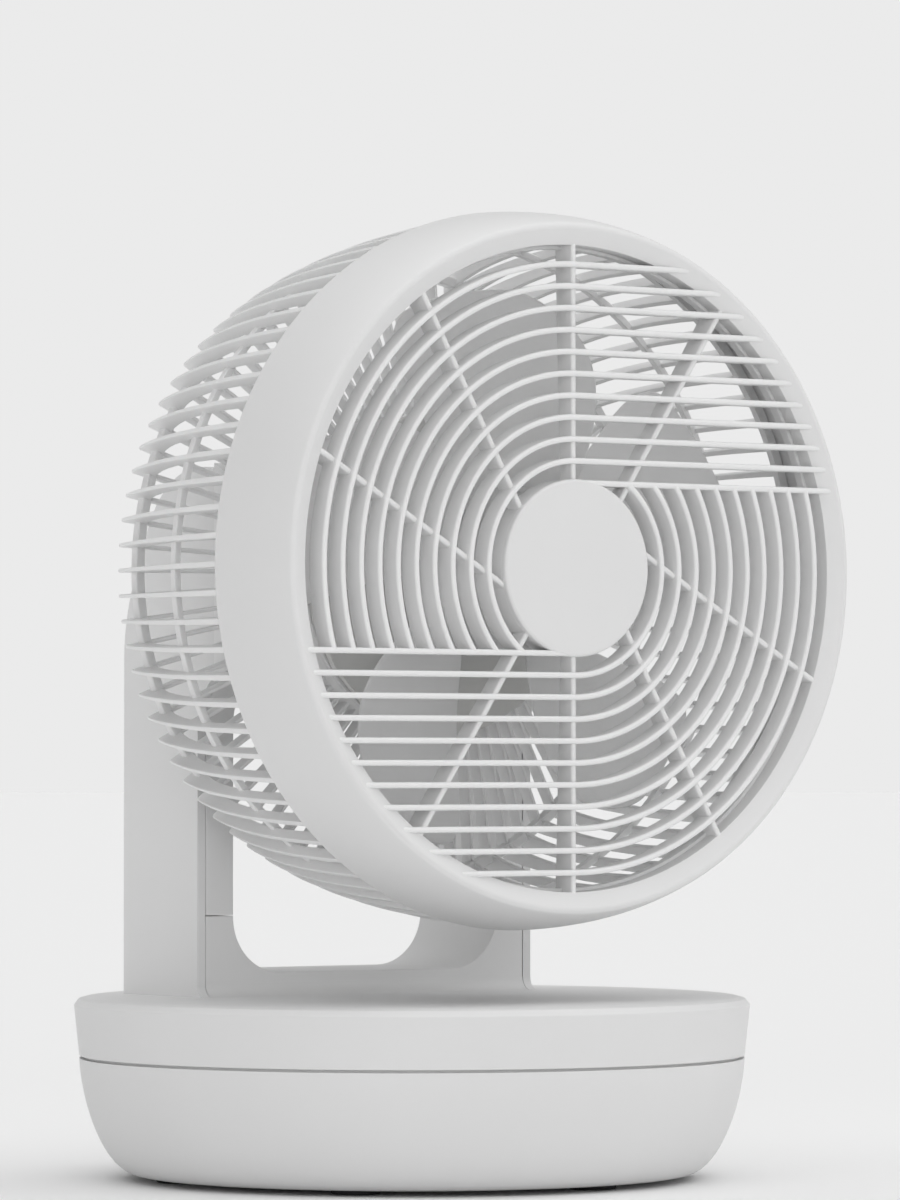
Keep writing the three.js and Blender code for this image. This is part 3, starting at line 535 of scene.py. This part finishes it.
def add_plate(bm, outline, start, end, rounding):
    """Adds a rounded plate across the fan, from one distance from its middle to another."""
    near = draw_outline(bm, outline)
    far = extrude(bm, near, (0, 0, end - start))
    bmesh.ops.translate(bm, verts=bm.verts, vec=(0, 0, start))
    bevel_rims(bm, [near, far], rounding)
    bmesh.ops.transform(bm, matrix=ACROSS, verts=bm.verts)


def make_arm(side, mirror, rounding):
    """One arm and its side cover, parted by a seam."""
    place = BASE_PLACE @ Matrix.Diagonal((mirror, 1, 1, 1))
    bm = bmesh.new()
    add_plate(bm, arm_outline(ARM_SEAM + SEAM_GAP), ARM_INNER, CORE_OUTER, rounding / 2)
    finish_piece(bm, f"arm_core_{side}", "turntable", "casing", place, f"arm_{side}")
    bm = bmesh.new()
    add_plate(bm, arm_outline(YOKE_BOTTOM, FOOT_FLARE), ARM_OUTER - ARM_COVER, ARM_OUTER, rounding)
    finish_piece(bm, f"arm_side_{side}", "turntable", "casing", place, f"arm_cover_{side}")


def bridge_outline():
    """Front outline of the yoke's foot, as (across, height)."""
    fillet_x = ARM_INNER - BRIDGE_FILLET
    fillet_height = BRIDGE_TOP + BRIDGE_FILLET
    return [
        (-CORE_OUTER, YOKE_BOTTOM), (CORE_OUTER, YOKE_BOTTOM),
        (CORE_OUTER, ARM_SEAM), (ARM_INNER, ARM_SEAM),
        *arc((fillet_x, fillet_height), BRIDGE_FILLET, 0, -90, BRIDGE_STEPS),
        *arc((-fillet_x, fillet_height), BRIDGE_FILLET, -90, -180, BRIDGE_STEPS),
        (-ARM_INNER, ARM_SEAM), (-CORE_OUTER, ARM_SEAM),
    ]


def add_flare(bm):
    """Adds the curve that runs out from the front of the yoke's foot onto the turntable."""
    known = set(bm.verts)
    face = draw_outline(bm, [
        *arc((FOOT_FLARE - ARM_FRONT, YOKE_BOTTOM + FOOT_FLARE), FOOT_FLARE, -90, -180, FLARE_STEPS),
        (-ARM_FRONT - FLARE_INSIDE, YOKE_BOTTOM + FOOT_FLARE), (-ARM_FRONT - FLARE_INSIDE, YOKE_BOTTOM)])
    extrude(bm, face, (0, 0, 2 * CORE_OUTER))
    made = [v for v in bm.verts if v not in known]
    bmesh.ops.transform(bm, matrix=Matrix.Translation((-CORE_OUTER, 0, 0)) @ ACROSS, verts=made)


def make_bridge(rounding):
    """The flared foot that joins the arms."""
    bm = bmesh.new()
    near = draw_outline(bm, bridge_outline())
    far = extrude(bm, near, (0, 0, ARM_REAR - ARM_FRONT))
    bevel_rims(bm, [near, far], rounding / 2)
    turn = Matrix.Translation((0, ARM_REAR, 0)) @ Matrix.Rotation(math.radians(90), 4, "X")
    bmesh.ops.transform(bm, matrix=turn, verts=bm.verts)
    add_flare(bm)
    finish_piece(bm, "yoke_bridge", "turntable", "casing", BASE_PLACE, "yoke_foot")


class FAN_OT_yoke(bpy.types.Operator):
    """Builds the yoke: its foot, both arms and their side covers"""

    bl_idname = "fan.build_yoke"
    bl_label = "Yoke"

    def execute(self, context):
        rounding = context.scene.fan_sizes.edge_round / MM
        for side, mirror in (("right", 1), ("left", -1)):
            make_arm(side, mirror, rounding)
        make_bridge(rounding)
        return {"FINISHED"}


# ---------------------------------------------------------------- front of the head

MOUTH_RADIUS = 117.6
BAND_REAR = 66.5
BAND_REAR_ROUND = 0.5
BAND_POINTS = 15
# The band's outer curve, lip and inside, as (radius, forward) or (radius, forward, rounding).
BAND_SKIN = ((132.2, BAND_REAR), (131, 90), (126.3, 103.2))
BAND_LIP = ((125.4, 105.2, 1.5), (123.7, 106, 1.5), (MOUTH_RADIUS, 102.8, 0.3))
BAND_INSIDE = (
    (MOUTH_RADIUS, 95), (119.4, 95), (119.4, 101), (123.3, 102.2), (127.9, 86), (129.9, BAND_REAR),
)

BAR_COUNT = 11  # in each half of the grille
FIRST_BAR_RADIUS = 31
BAR_PITCH = 7.95
BAR_FRONT = 105
BAR_DEPTH = 9
BAR_STEPS = 40  # facets along a bar's arc
BAR_END_RADIUS = 118.2  # bars and spokes end inside the wall of the mouth
BAR_TIP_RADIUS = 121.8  # where a bar's front runs out on the lip's slope
BAR_BACK_ROUND = 0.3
# Section of a bar or spoke, in shares of half its width.
BAR_NOSE = 0.92  # rounding of the front corners
BAR_BACK = 0.8  # half width at the back

SPOKE_START = 27
SPOKE_FRONT = 103
SPOKE_DEPTH = 7.5
SPOKE_TAPER = 3.2  # how much deeper a spoke is at the rim
# Direction in degrees from +X, and distance of the spoke's line from the centre.
SPOKES = ((57, 4.4), (90, 0), (119.6, -9.9), (149.9, -21.3))

GRILLE_RIM = ((116.3, 92.8), (117.58, 92.8), (117.58, 96.5, 0.1), (116.3, 96.5, 0.5))
HUB_SEAT = ((0, 94.2), (32.1, 94.2, 0.4), (32.1, 102.4, 0.4), (0, 102.4))
HUB_RADIUS = 32.3
HUB_CAP = ((0, 102.7), (HUB_RADIUS, 102.7), (HUB_RADIUS, 105.2, 1.2), (0, 105.2))


class FAN_OT_front_band(bpy.types.Operator):
    """Builds the smooth ring round the front of the drum"""

    bl_idname = "fan.build_front_band"
    bl_label = "Front band"

    def execute(self, context):
        bm = bmesh.new()
        rear, *skin = curve(BAND_SKIN, BAND_POINTS)
        spun(bm, [(*rear, BAND_REAR_ROUND), *skin, *BAND_LIP, *BAND_INSIDE])
        finish_piece(bm, "band_ring", "head", "casing", HEAD_PLACE, "front_band")
        return {"FINISHED"}


def bar_section(part, width, back, front, place):
    """Draws the rounded section of a bar, square to X, at a place of (along, across)."""
    half = width / 2
    back_half = half * BAR_BACK
    nose = half * BAR_NOSE
    face = draw_outline(part, [
        (-back_half, back, BAR_BACK_ROUND), (back_half, back, BAR_BACK_ROUND),
        (half, front, nose), (-half, front, nose)])
    upright = Matrix(((0, 0, 1, place[0]), (1, 0, 0, place[1]), (0, 1, 0, 0), (0, 0, 0, 1)))
    bmesh.ops.transform(part, matrix=upright, verts=part.verts)
    return face


def add_bar(bm, radius, width):
    """One bar: straight in from the rim, then an arc round the hub to the other half's first bar."""
    part = bmesh.new()
    reach = math.sqrt(BAR_END_RADIUS**2 - radius**2)
    face = bar_section(part, width, BAR_FRONT - BAR_DEPTH, BAR_FRONT, (reach, radius))
    end = extrude(part, face, (-reach, 0, 0))
    tip = math.sqrt(BAR_TIP_RADIUS**2 - radius**2) - reach
    for vert in face.verts:
        if vert.co.z > BAR_FRONT - BAR_DEPTH / 2:
            vert.co.x += tip
    if radius > FIRST_BAR_RADIUS:
        angle = math.pi / 2 + math.asin(FIRST_BAR_RADIUS / radius)
        bmesh.ops.spin(
            part, geom=[end], cent=(0, 0, 0), axis=(0, 0, 1), dvec=(0, 0, 0), angle=angle,
            steps=BAR_STEPS)
    add_to(bm, part)


def add_spoke(bm, direction, offset, width):
    """One spoke, behind the bars, that gets deeper from the hub's seat to the rim."""
    part = bmesh.new()
    start = math.sqrt(SPOKE_START**2 - offset**2)
    end = math.sqrt(BAR_END_RADIUS**2 - offset**2)
    face = bar_section(part, width, SPOKE_FRONT - SPOKE_DEPTH, SPOKE_FRONT, (start, -offset))
    outer = extrude(part, face, (end - start, 0, 0))
    for vert in outer.verts:
        if vert.co.z < SPOKE_FRONT - SPOKE_DEPTH / 2:
            vert.co.z -= SPOKE_TAPER
    turn = Matrix.Rotation(math.radians(direction), 3, "Z")
    bmesh.ops.rotate(part, cent=(0, 0, 0), matrix=turn, verts=part.verts)
    add_to(bm, part)


class FAN_OT_front_grille(bpy.types.Operator):
    """Builds the two interleaved halves of the front grille, its rim and the seat of the hub disc"""

    bl_idname = "fan.build_front_grille"
    bl_label = "Front grille"

    def execute(self, context):
        sizes = context.scene.fan_sizes
        bm = bmesh.new()
        for i in range(BAR_COUNT):
            add_bar(bm, FIRST_BAR_RADIUS + i * BAR_PITCH, sizes.bar_width / MM)
        for direction, offset in SPOKES:
            add_spoke(bm, direction, offset, sizes.spoke_width / MM)
        bmesh.ops.spin(
            bm, geom=everything(bm), cent=(0, 0, 0), axis=(0, 0, 1), dvec=(0, 0, 0), angle=math.pi,
            steps=1, use_duplicate=True)
        spun(bm, GRILLE_RIM)
        spun(bm, HUB_SEAT)
        finish_piece(bm, "grille_bars", "head", "grille", HEAD_PLACE, "front_grille")
        return {"FINISHED"}


class FAN_OT_hub_disc(bpy.types.Operator):
    """Builds the bare disc at the middle of the front grille"""

    bl_idname = "fan.build_hub_disc"
    bl_label = "Hub disc"

    def execute(self, context):
        bm = bmesh.new()
        spun(bm, HUB_CAP)
        finish_piece(bm, "hub_cap", "head", "casing", HEAD_PLACE, "hub_disc")
        return {"FINISHED"}


# ---------------------------------------------------------------- back of the head

TIP_RADIUS = 119.4
TIP_BACK = -18.6
DISH_RISE = 0.36  # how far the rear face comes forward for each millimetre inwards
FIN_COUNT = 80
FIN_ROOT = 69.5  # where the fins end inside the band, along the fan axis
FIN_ROOT_RADIUS = 128
FIN_START = BAND_REAR - 0.3  # where a fin steps out, just behind the band
# Curves of a fin's outer and inner edges, as corners of (radius, forward).
FIN_OUTER = ((131.4, FIN_START), (129.2, 10), (TIP_RADIUS, TIP_BACK))
FIN_INNER = ((113.5, -10), (127.2, 16), (126.4, FIN_ROOT))
FIN_POINTS = 10
FIN_TIP_ROUND = 1.3
FIN_EDGE_ROUND = 0.45
RIB_DEPTH = 6.5  # of a fin along the rear face

# Rings of the guard: inside the band, at the rear, at mid-depth and round the motor.
ROOT_RING = ((125.2, 68.5), (128.6, 68.5), (128.6, 71.5), (125.2, 71.5))
REAR_HOOP = ((113.4, -13, 0.4), (116.9, -13.2, 0.6), (117.3, -8.8, 0.6), (113.6, -8.8, 0.4))
MIDDLE_HOOP = ((123.2, 27.5, 0.3), (125.8, 27.5, 0.5), (125.8, 30.5, 0.5), (123.2, 30.5, 0.3))
RING_RADIUS = 60
MOTOR_RING = ((53.6, 2, 0.4), (RING_RADIUS, 2, 1.2), (RING_RADIUS, 15), (53.6, 15))
MOTOR_RING_STEPS = 160
LONG_FIN_END = RING_RADIUS - 3  # radius, inside the wall of the motor's ring

POCKET_RADIUS = 42
POCKET_WALL = 1.8
POCKET_GAP = 2
POCKET_REAR = TIP_BACK + 5  # where the pocket is open to the rear
SHORT_FIN_ANGLE = 25  # degrees from level, within which a fin stops at the yoke's pocket
SHORT_FIN_END = ARM_OUTER + POCKET_GAP + 1  # sideways from the fan's middle

MOTOR_SHELL = (
    (0, -62), (40, -62, 12), (49, -58, 10), (53, -48, 12), (53, 15.3), (61, 15.3, 0.4), (61, 17.8, 0.4),
    (50.5, 17.8), (50.5, -48), (47, -56), (39, -59.5), (0, -59.5),
)
# Bosses on the housing, round the tilt pins.
BOSS_RADIUS = 12
BOSS_LENGTH = 7
BOSS_MIDDLE = 54.9  # from the fan's middle
BOSS_STEPS = 48


def dish(radius):
    """How far forward the guard's rear face lies at a radius."""
    return TIP_BACK + DISH_RISE * (TIP_RADIUS - radius)


def add_fins(bm, first, count, inner, sizes):
    """Fins from one direction on: down the drum's side, round the tip and in along the rear face."""
    tip, root = sizes.fin_tip / MM, sizes.fin_root / MM
    *outer, rear_tip = curve(FIN_OUTER, FIN_POINTS)
    part = bmesh.new()
    face = draw_outline(part, [
        (FIN_ROOT_RADIUS, FIN_ROOT), (FIN_ROOT_RADIUS, FIN_START), *outer, (*rear_tip, FIN_TIP_ROUND),
        (inner, dish(inner)), (inner, dish(inner) + RIB_DEPTH), *curve(FIN_INNER, FIN_POINTS)])
    far = extrude(part, face, (0, 0, 1))
    # The fin is 1 mm thick so far. Here it is centred, and gets its thickness from tip to root.
    for vert in part.verts:
        share = (vert.co.y - TIP_BACK) / (FIN_ROOT - TIP_BACK)
        vert.co.z = (vert.co.z - 0.5) * (tip + (root - tip) * share)
    bevel_rims(part, [face, far], FIN_EDGE_ROUND)
    turn = Matrix.Rotation(math.radians(first), 4, "Z") @ Matrix.Rotation(math.radians(90), 4, "X")
    bmesh.ops.transform(part, matrix=turn, verts=part.verts)
    if count > 1:
        bmesh.ops.spin(
            part, geom=everything(part), cent=(0, 0, 0), axis=(0, 0, 1), dvec=(0, 0, 0),
            angle=2 * math.pi * (count - 1) / FIN_COUNT, steps=count - 1, use_duplicate=True)
    add_to(bm, part)


def add_pocket(bm, side):
    """The cheek that lets one of the yoke's discs into the rear of the guard."""
    part = bmesh.new()
    bmesh.ops.create_circle(part, cap_ends=True, segments=DISC_STEPS, radius=POCKET_RADIUS)
    extrude(part, next(iter(part.faces)), (0, 0, ARM_OUTER - ARM_INNER + 2 * POCKET_GAP))
    turn = (
        Matrix.Diagonal((side, 1, 1, 1)) @ Matrix.Translation((ARM_INNER - POCKET_GAP, 0, -PIVOT_BACK))
        @ Matrix.Rotation(math.radians(90), 4, "Y"))
    bmesh.ops.transform(part, matrix=turn, verts=part.verts)
    bmesh.ops.bisect_plane(
        part, geom=everything(part), plane_co=(0, 0, POCKET_REAR), plane_no=(0, 0, -1), clear_outer=True)
    bmesh.ops.recalc_face_normals(part, faces=part.faces)
    bmesh.ops.solidify(part, geom=list(part.faces), thickness=-POCKET_WALL)
    add_to(bm, part)


class FAN_OT_rear_guard(bpy.types.Operator):
    """Builds the finned basket behind the band, its hoops and the pockets for the yoke"""

    bl_idname = "fan.build_rear_guard"
    bl_label = "Rear guard"

    def execute(self, context):
        sizes = context.scene.fan_sizes
        bm = bmesh.new()
        step = 360 / FIN_COUNT
        short = int(SHORT_FIN_ANGLE / step)
        for i in range(-short, short + 1):
            inner = SHORT_FIN_END / math.cos(math.radians(i * step))
            add_fins(bm, i * step, 1, inner, sizes)
            add_fins(bm, i * step + 180, 1, inner, sizes)
        long = FIN_COUNT // 2 - 2 * short - 1
        for first in (short + 1, short + 1 + FIN_COUNT // 2):
            add_fins(bm, first * step, long, LONG_FIN_END, sizes)
        for ring in (ROOT_RING, REAR_HOOP, MIDDLE_HOOP):
            spun(bm, ring)
        spun(bm, MOTOR_RING, MOTOR_RING_STEPS)
        for side in (1, -1):
            add_pocket(bm, side)
        finish_piece(bm, "guard_fins", "head", "grille", HEAD_PLACE, "rear_guard")
        return {"FINISHED"}


class FAN_OT_motor(bpy.types.Operator):
    """Builds the motor's housing with the bosses for the tilt pins"""

    bl_idname = "fan.build_motor"
    bl_label = "Motor housing"

    def execute(self, context):
        bm = bmesh.new()
        spun(bm, MOTOR_SHELL, MOTOR_STEPS)
        for side in (1, -1):
            place = Matrix.Translation((side * BOSS_MIDDLE, 0, -PIVOT_BACK))
            bmesh.ops.create_cone(
                bm, cap_ends=True, segments=BOSS_STEPS, radius1=BOSS_RADIUS, radius2=BOSS_RADIUS,
                depth=BOSS_LENGTH, matrix=place @ Matrix.Rotation(math.radians(90), 4, "Y"))
        finish_piece(bm, "motor_shell", "head", "casing", HEAD_PLACE, "motor_housing")
        return {"FINISHED"}


# ---------------------------------------------------------------- impeller

# Sections of a blade from root to tip: radius, middle direction and half width in degrees,
# climb along the axis from one edge to the other, and place on the axis.
BLADE_SECTIONS = (
    (28, 0, 30, 30, 58),
    (50, 4, 29, 30, 58),
    (74, 9, 28, 27, 58.5),
    (94, 15, 24, 22, 59),
    (105, 21, 14, 12, 59),
)
BLADE_COUNT = 5
BLADE_FIRST = 80  # degrees from +X
CAMBER = 2.4
BLADE_SMOOTHING = 3  # levels of subdivision

IMPELLER_HUB = (
    (4.3, 76), (28, 76), (31, 76, 3), (31, 40), (28.6, 40), (28.6, 73), (9, 73), (9, 50), (4.3, 50),
)


def add_blade(bm, first, thickness):
    """Adds one blade: a square grid bent onto the sections, given its thickness."""
    known = set(bm.verts)
    cells = len(BLADE_SECTIONS) - 1
    bmesh.ops.create_grid(bm, x_segments=cells, y_segments=cells, size=1)
    made = [v for v in bm.verts if v not in known]
    for vert in made:
        section = BLADE_SECTIONS[round((vert.co.y + 1) * cells / 2)]
        radius, middle, half, climb, centre = section
        across = vert.co.x
        direction = math.radians(first + middle + across * half)
        forward = centre - across * climb / 2 - CAMBER * (1 - across**2)
        vert.co = (radius * math.cos(direction), radius * math.sin(direction), forward)
    faces = list({f for v in made for f in v.link_faces})
    bmesh.ops.recalc_face_normals(bm, faces=faces)
    bmesh.ops.solidify(bm, geom=faces, thickness=thickness)


class FAN_OT_blade(bpy.types.Operator):
    """Builds the five-bladed impeller and its hub"""

    bl_idname = "fan.build_blade"
    bl_label = "Blade"

    def execute(self, context):
        thickness = context.scene.fan_sizes.blade_thickness / MM
        bm = bmesh.new()
        for i in range(BLADE_COUNT):
            add_blade(bm, BLADE_FIRST + i * 360 / BLADE_COUNT, thickness)
        blades = finish_piece(bm, "impeller_blades", "rotor", "blade", HEAD_PLACE, "fan_blade")
        smooth = blades.modifiers.new("smooth", "SUBSURF")
        smooth.levels = smooth.render_levels = BLADE_SMOOTHING
        bm = bmesh.new()
        spun(bm, IMPELLER_HUB, SMALL_STEPS)
        finish_piece(bm, "impeller_hub", "rotor", "blade", HEAD_PLACE)
        return {"FINISHED"}


# ---------------------------------------------------------------- what the CAD model already shapes

CARRIED = {
    "inner_plastic": ("base_deck", "motor_cover", "blade_nut"),
    "steel": ("ballast", "swing_motor", "pivot_post", "pivot_nut", "bearing_front", "bearing_rear",
              "tilt_pin_right", "tilt_pin_left", "motor_shaft", "rotor_magnet"),
    "circuit_board": ("power_board", "control_board"),
    "rubber": ("power_inlet",),
    "nylon": ("slide_ring", "swing_pinion", "swing_quadrant", "tilt_bush_right", "tilt_bush_left"),
    "copper": ("motor_stator",),
}


class FAN_OT_inner_parts(bpy.types.Operator):
    """Gives the parts inside their finishes"""

    bl_idname = "fan.finish_inner_parts"
    bl_label = "Inner parts"

    def execute(self, context):
        for finish, nodes in CARRIED.items():
            for node in nodes:
                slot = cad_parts[node].material_slots[0]
                slot.link = "OBJECT"
                slot.material = MATERIALS[finish]
        return {"FINISHED"}


# ---------------------------------------------------------------- stage

# Brightness of the studio by the sine of the height: a pale wall, dimmer above it, and a bright ceiling.
STUDIO_LIGHT = ((0.0, 0.83), (0.2, 0.83), (0.4, 0.15), (0.75, 0.15), (1.0, 0.8))
# Softboxes by name: the way to each one, its strength and how wide it is in degrees.
SOFTBOXES = (
    ("key", (0.6, -0.45, 0.65), 0.3, 60),
    ("camera_side", (-0.5, -0.85, 0.1), 0.58, 40),
    ("overhead", (0.05, -0.1, 1.0), 1.6, 100),
)
FLOOR_RADIUS = 40  # metres
FLOOR_STEPS = 96
CAMERA_PLACE = (-1.3042, -1.8701, 0.1532)  # metres
VIEW_AZIMUTH = 34.9  # degrees to the left of the fan's front
AIM_RIGHT = 0.35  # degrees from the base axis to the picture's middle
AIM_UP = 1.61  # degrees above level
LENS = 181.5
SENSOR_WIDTH = 36


def make_studio():
    """The soft light that comes from all round, brighter or dimmer by height."""
    world = bpy.data.worlds.new("studio_light")
    world.use_nodes = True
    tree = world.node_tree
    tree.nodes.clear()
    way = add_node(tree, "ShaderNodeTexCoord")
    height = add_node(tree, "ShaderNodeSeparateXYZ", links={"Vector": way.outputs["Generated"]})
    ramp = add_node(tree, "ShaderNodeValToRGB", links={"Fac": height.outputs["Z"]})
    stops = ramp.color_ramp.elements
    while len(stops) < len(STUDIO_LIGHT):
        stops.new(0.5)
    for stop, (place, light) in zip(stops, STUDIO_LIGHT):
        stop.position = place
        stop.color = (light, light, light, 1)
    sky = add_node(tree, "ShaderNodeBackground", links={"Color": ramp.outputs["Color"]})
    add_node(tree, "ShaderNodeOutputWorld", links={"Surface": sky.outputs["Background"]})
    return world


def add_floor(scene):
    """The pale floor, which reaches out of sight."""
    bm = bmesh.new()
    bmesh.ops.create_circle(bm, cap_ends=True, segments=FLOOR_STEPS, radius=FLOOR_RADIUS)
    mesh = bpy.data.meshes.new("studio_floor")
    bm.to_mesh(mesh)
    bm.free()
    # Painted floor: matte and of one even colour.
    mesh.materials.append(moulded_material(
        "floor_matte_paint", scene.fan_colours.floor, roughness=0.9, ior=1.5, grain=3, depth=0.02,
        mottle=0.0))
    floor = bpy.data.objects.new("studio_floor", mesh)
    scene.collection.objects.link(floor)


def add_softbox(scene, name, direction, strength, spread):
    """A wide, soft light from one direction."""
    light = bpy.data.lights.new(name, "SUN")
    light.energy = strength
    light.angle = math.radians(spread)
    lamp = bpy.data.objects.new(name, light)
    lamp.rotation_mode = "QUATERNION"
    lamp.rotation_quaternion = Vector(direction).to_track_quat("Z", "Y")
    scene.collection.objects.link(lamp)


def add_camera(scene):
    """The camera where the photograph was taken from."""
    camera = bpy.data.objects.new("camera", bpy.data.cameras.new("camera"))
    camera.data.lens = LENS
    camera.data.sensor_width = SENSOR_WIDTH
    camera.location = CAMERA_PLACE
    camera.rotation_euler = (math.radians(90 + AIM_UP), 0, math.radians(-VIEW_AZIMUTH - AIM_RIGHT))
    scene.collection.objects.link(camera)
    scene.camera = camera


class FAN_OT_stage(bpy.types.Operator):
    """Sets up the floor, the soft light and the camera"""

    bl_idname = "fan.build_stage"
    bl_label = "Stage"

    def execute(self, context):
        scene = context.scene
        add_floor(scene)
        scene.world = make_studio()
        for softbox in SOFTBOXES:
            add_softbox(scene, *softbox)
        add_camera(scene)
        scene.view_settings.view_transform = "Standard"
        return {"FINISHED"}


# ---------------------------------------------------------------- panel and registration

OPERATORS = (
    FAN_OT_stage, FAN_OT_base, FAN_OT_turntable, FAN_OT_yoke, FAN_OT_front_band, FAN_OT_front_grille,
    FAN_OT_hub_disc, FAN_OT_rear_guard, FAN_OT_motor, FAN_OT_blade, FAN_OT_inner_parts,
)


class FAN_PT_parts(bpy.types.Panel):
    """Lists the fan's pieces, sizes and colours"""

    bl_label = "Air circulator fan"
    bl_idname = "FAN_PT_parts"
    bl_space_type = "VIEW_3D"
    bl_region_type = "UI"
    bl_category = "Fan"

    def draw(self, context):
        layout = self.layout
        for operator in OPERATORS:
            layout.operator(operator.bl_idname)
        for group in (context.scene.fan_sizes, context.scene.fan_colours):
            for name in group.__annotations__:
                layout.prop(group, name)


CLASSES = (FanSizes, FanColours, *OPERATORS, FAN_PT_parts)


def register():
    for cls in CLASSES:
        bpy.utils.register_class(cls)
    bpy.types.Scene.fan_sizes = bpy.props.PointerProperty(type=FanSizes)
    bpy.types.Scene.fan_colours = bpy.props.PointerProperty(type=FanColours)


def unregister():
    del bpy.types.Scene.fan_colours
    del bpy.types.Scene.fan_sizes
    for cls in reversed(CLASSES):
        bpy.utils.unregister_class(cls)


def main():
    """Builds the fan piece by piece."""
    register()
    make_materials(bpy.context.scene.fan_colours)
    for operator in OPERATORS:
        group, name = operator.bl_idname.split(".")
        getattr(getattr(bpy.ops, group), name)()


if __name__ == "__main__":
    main()
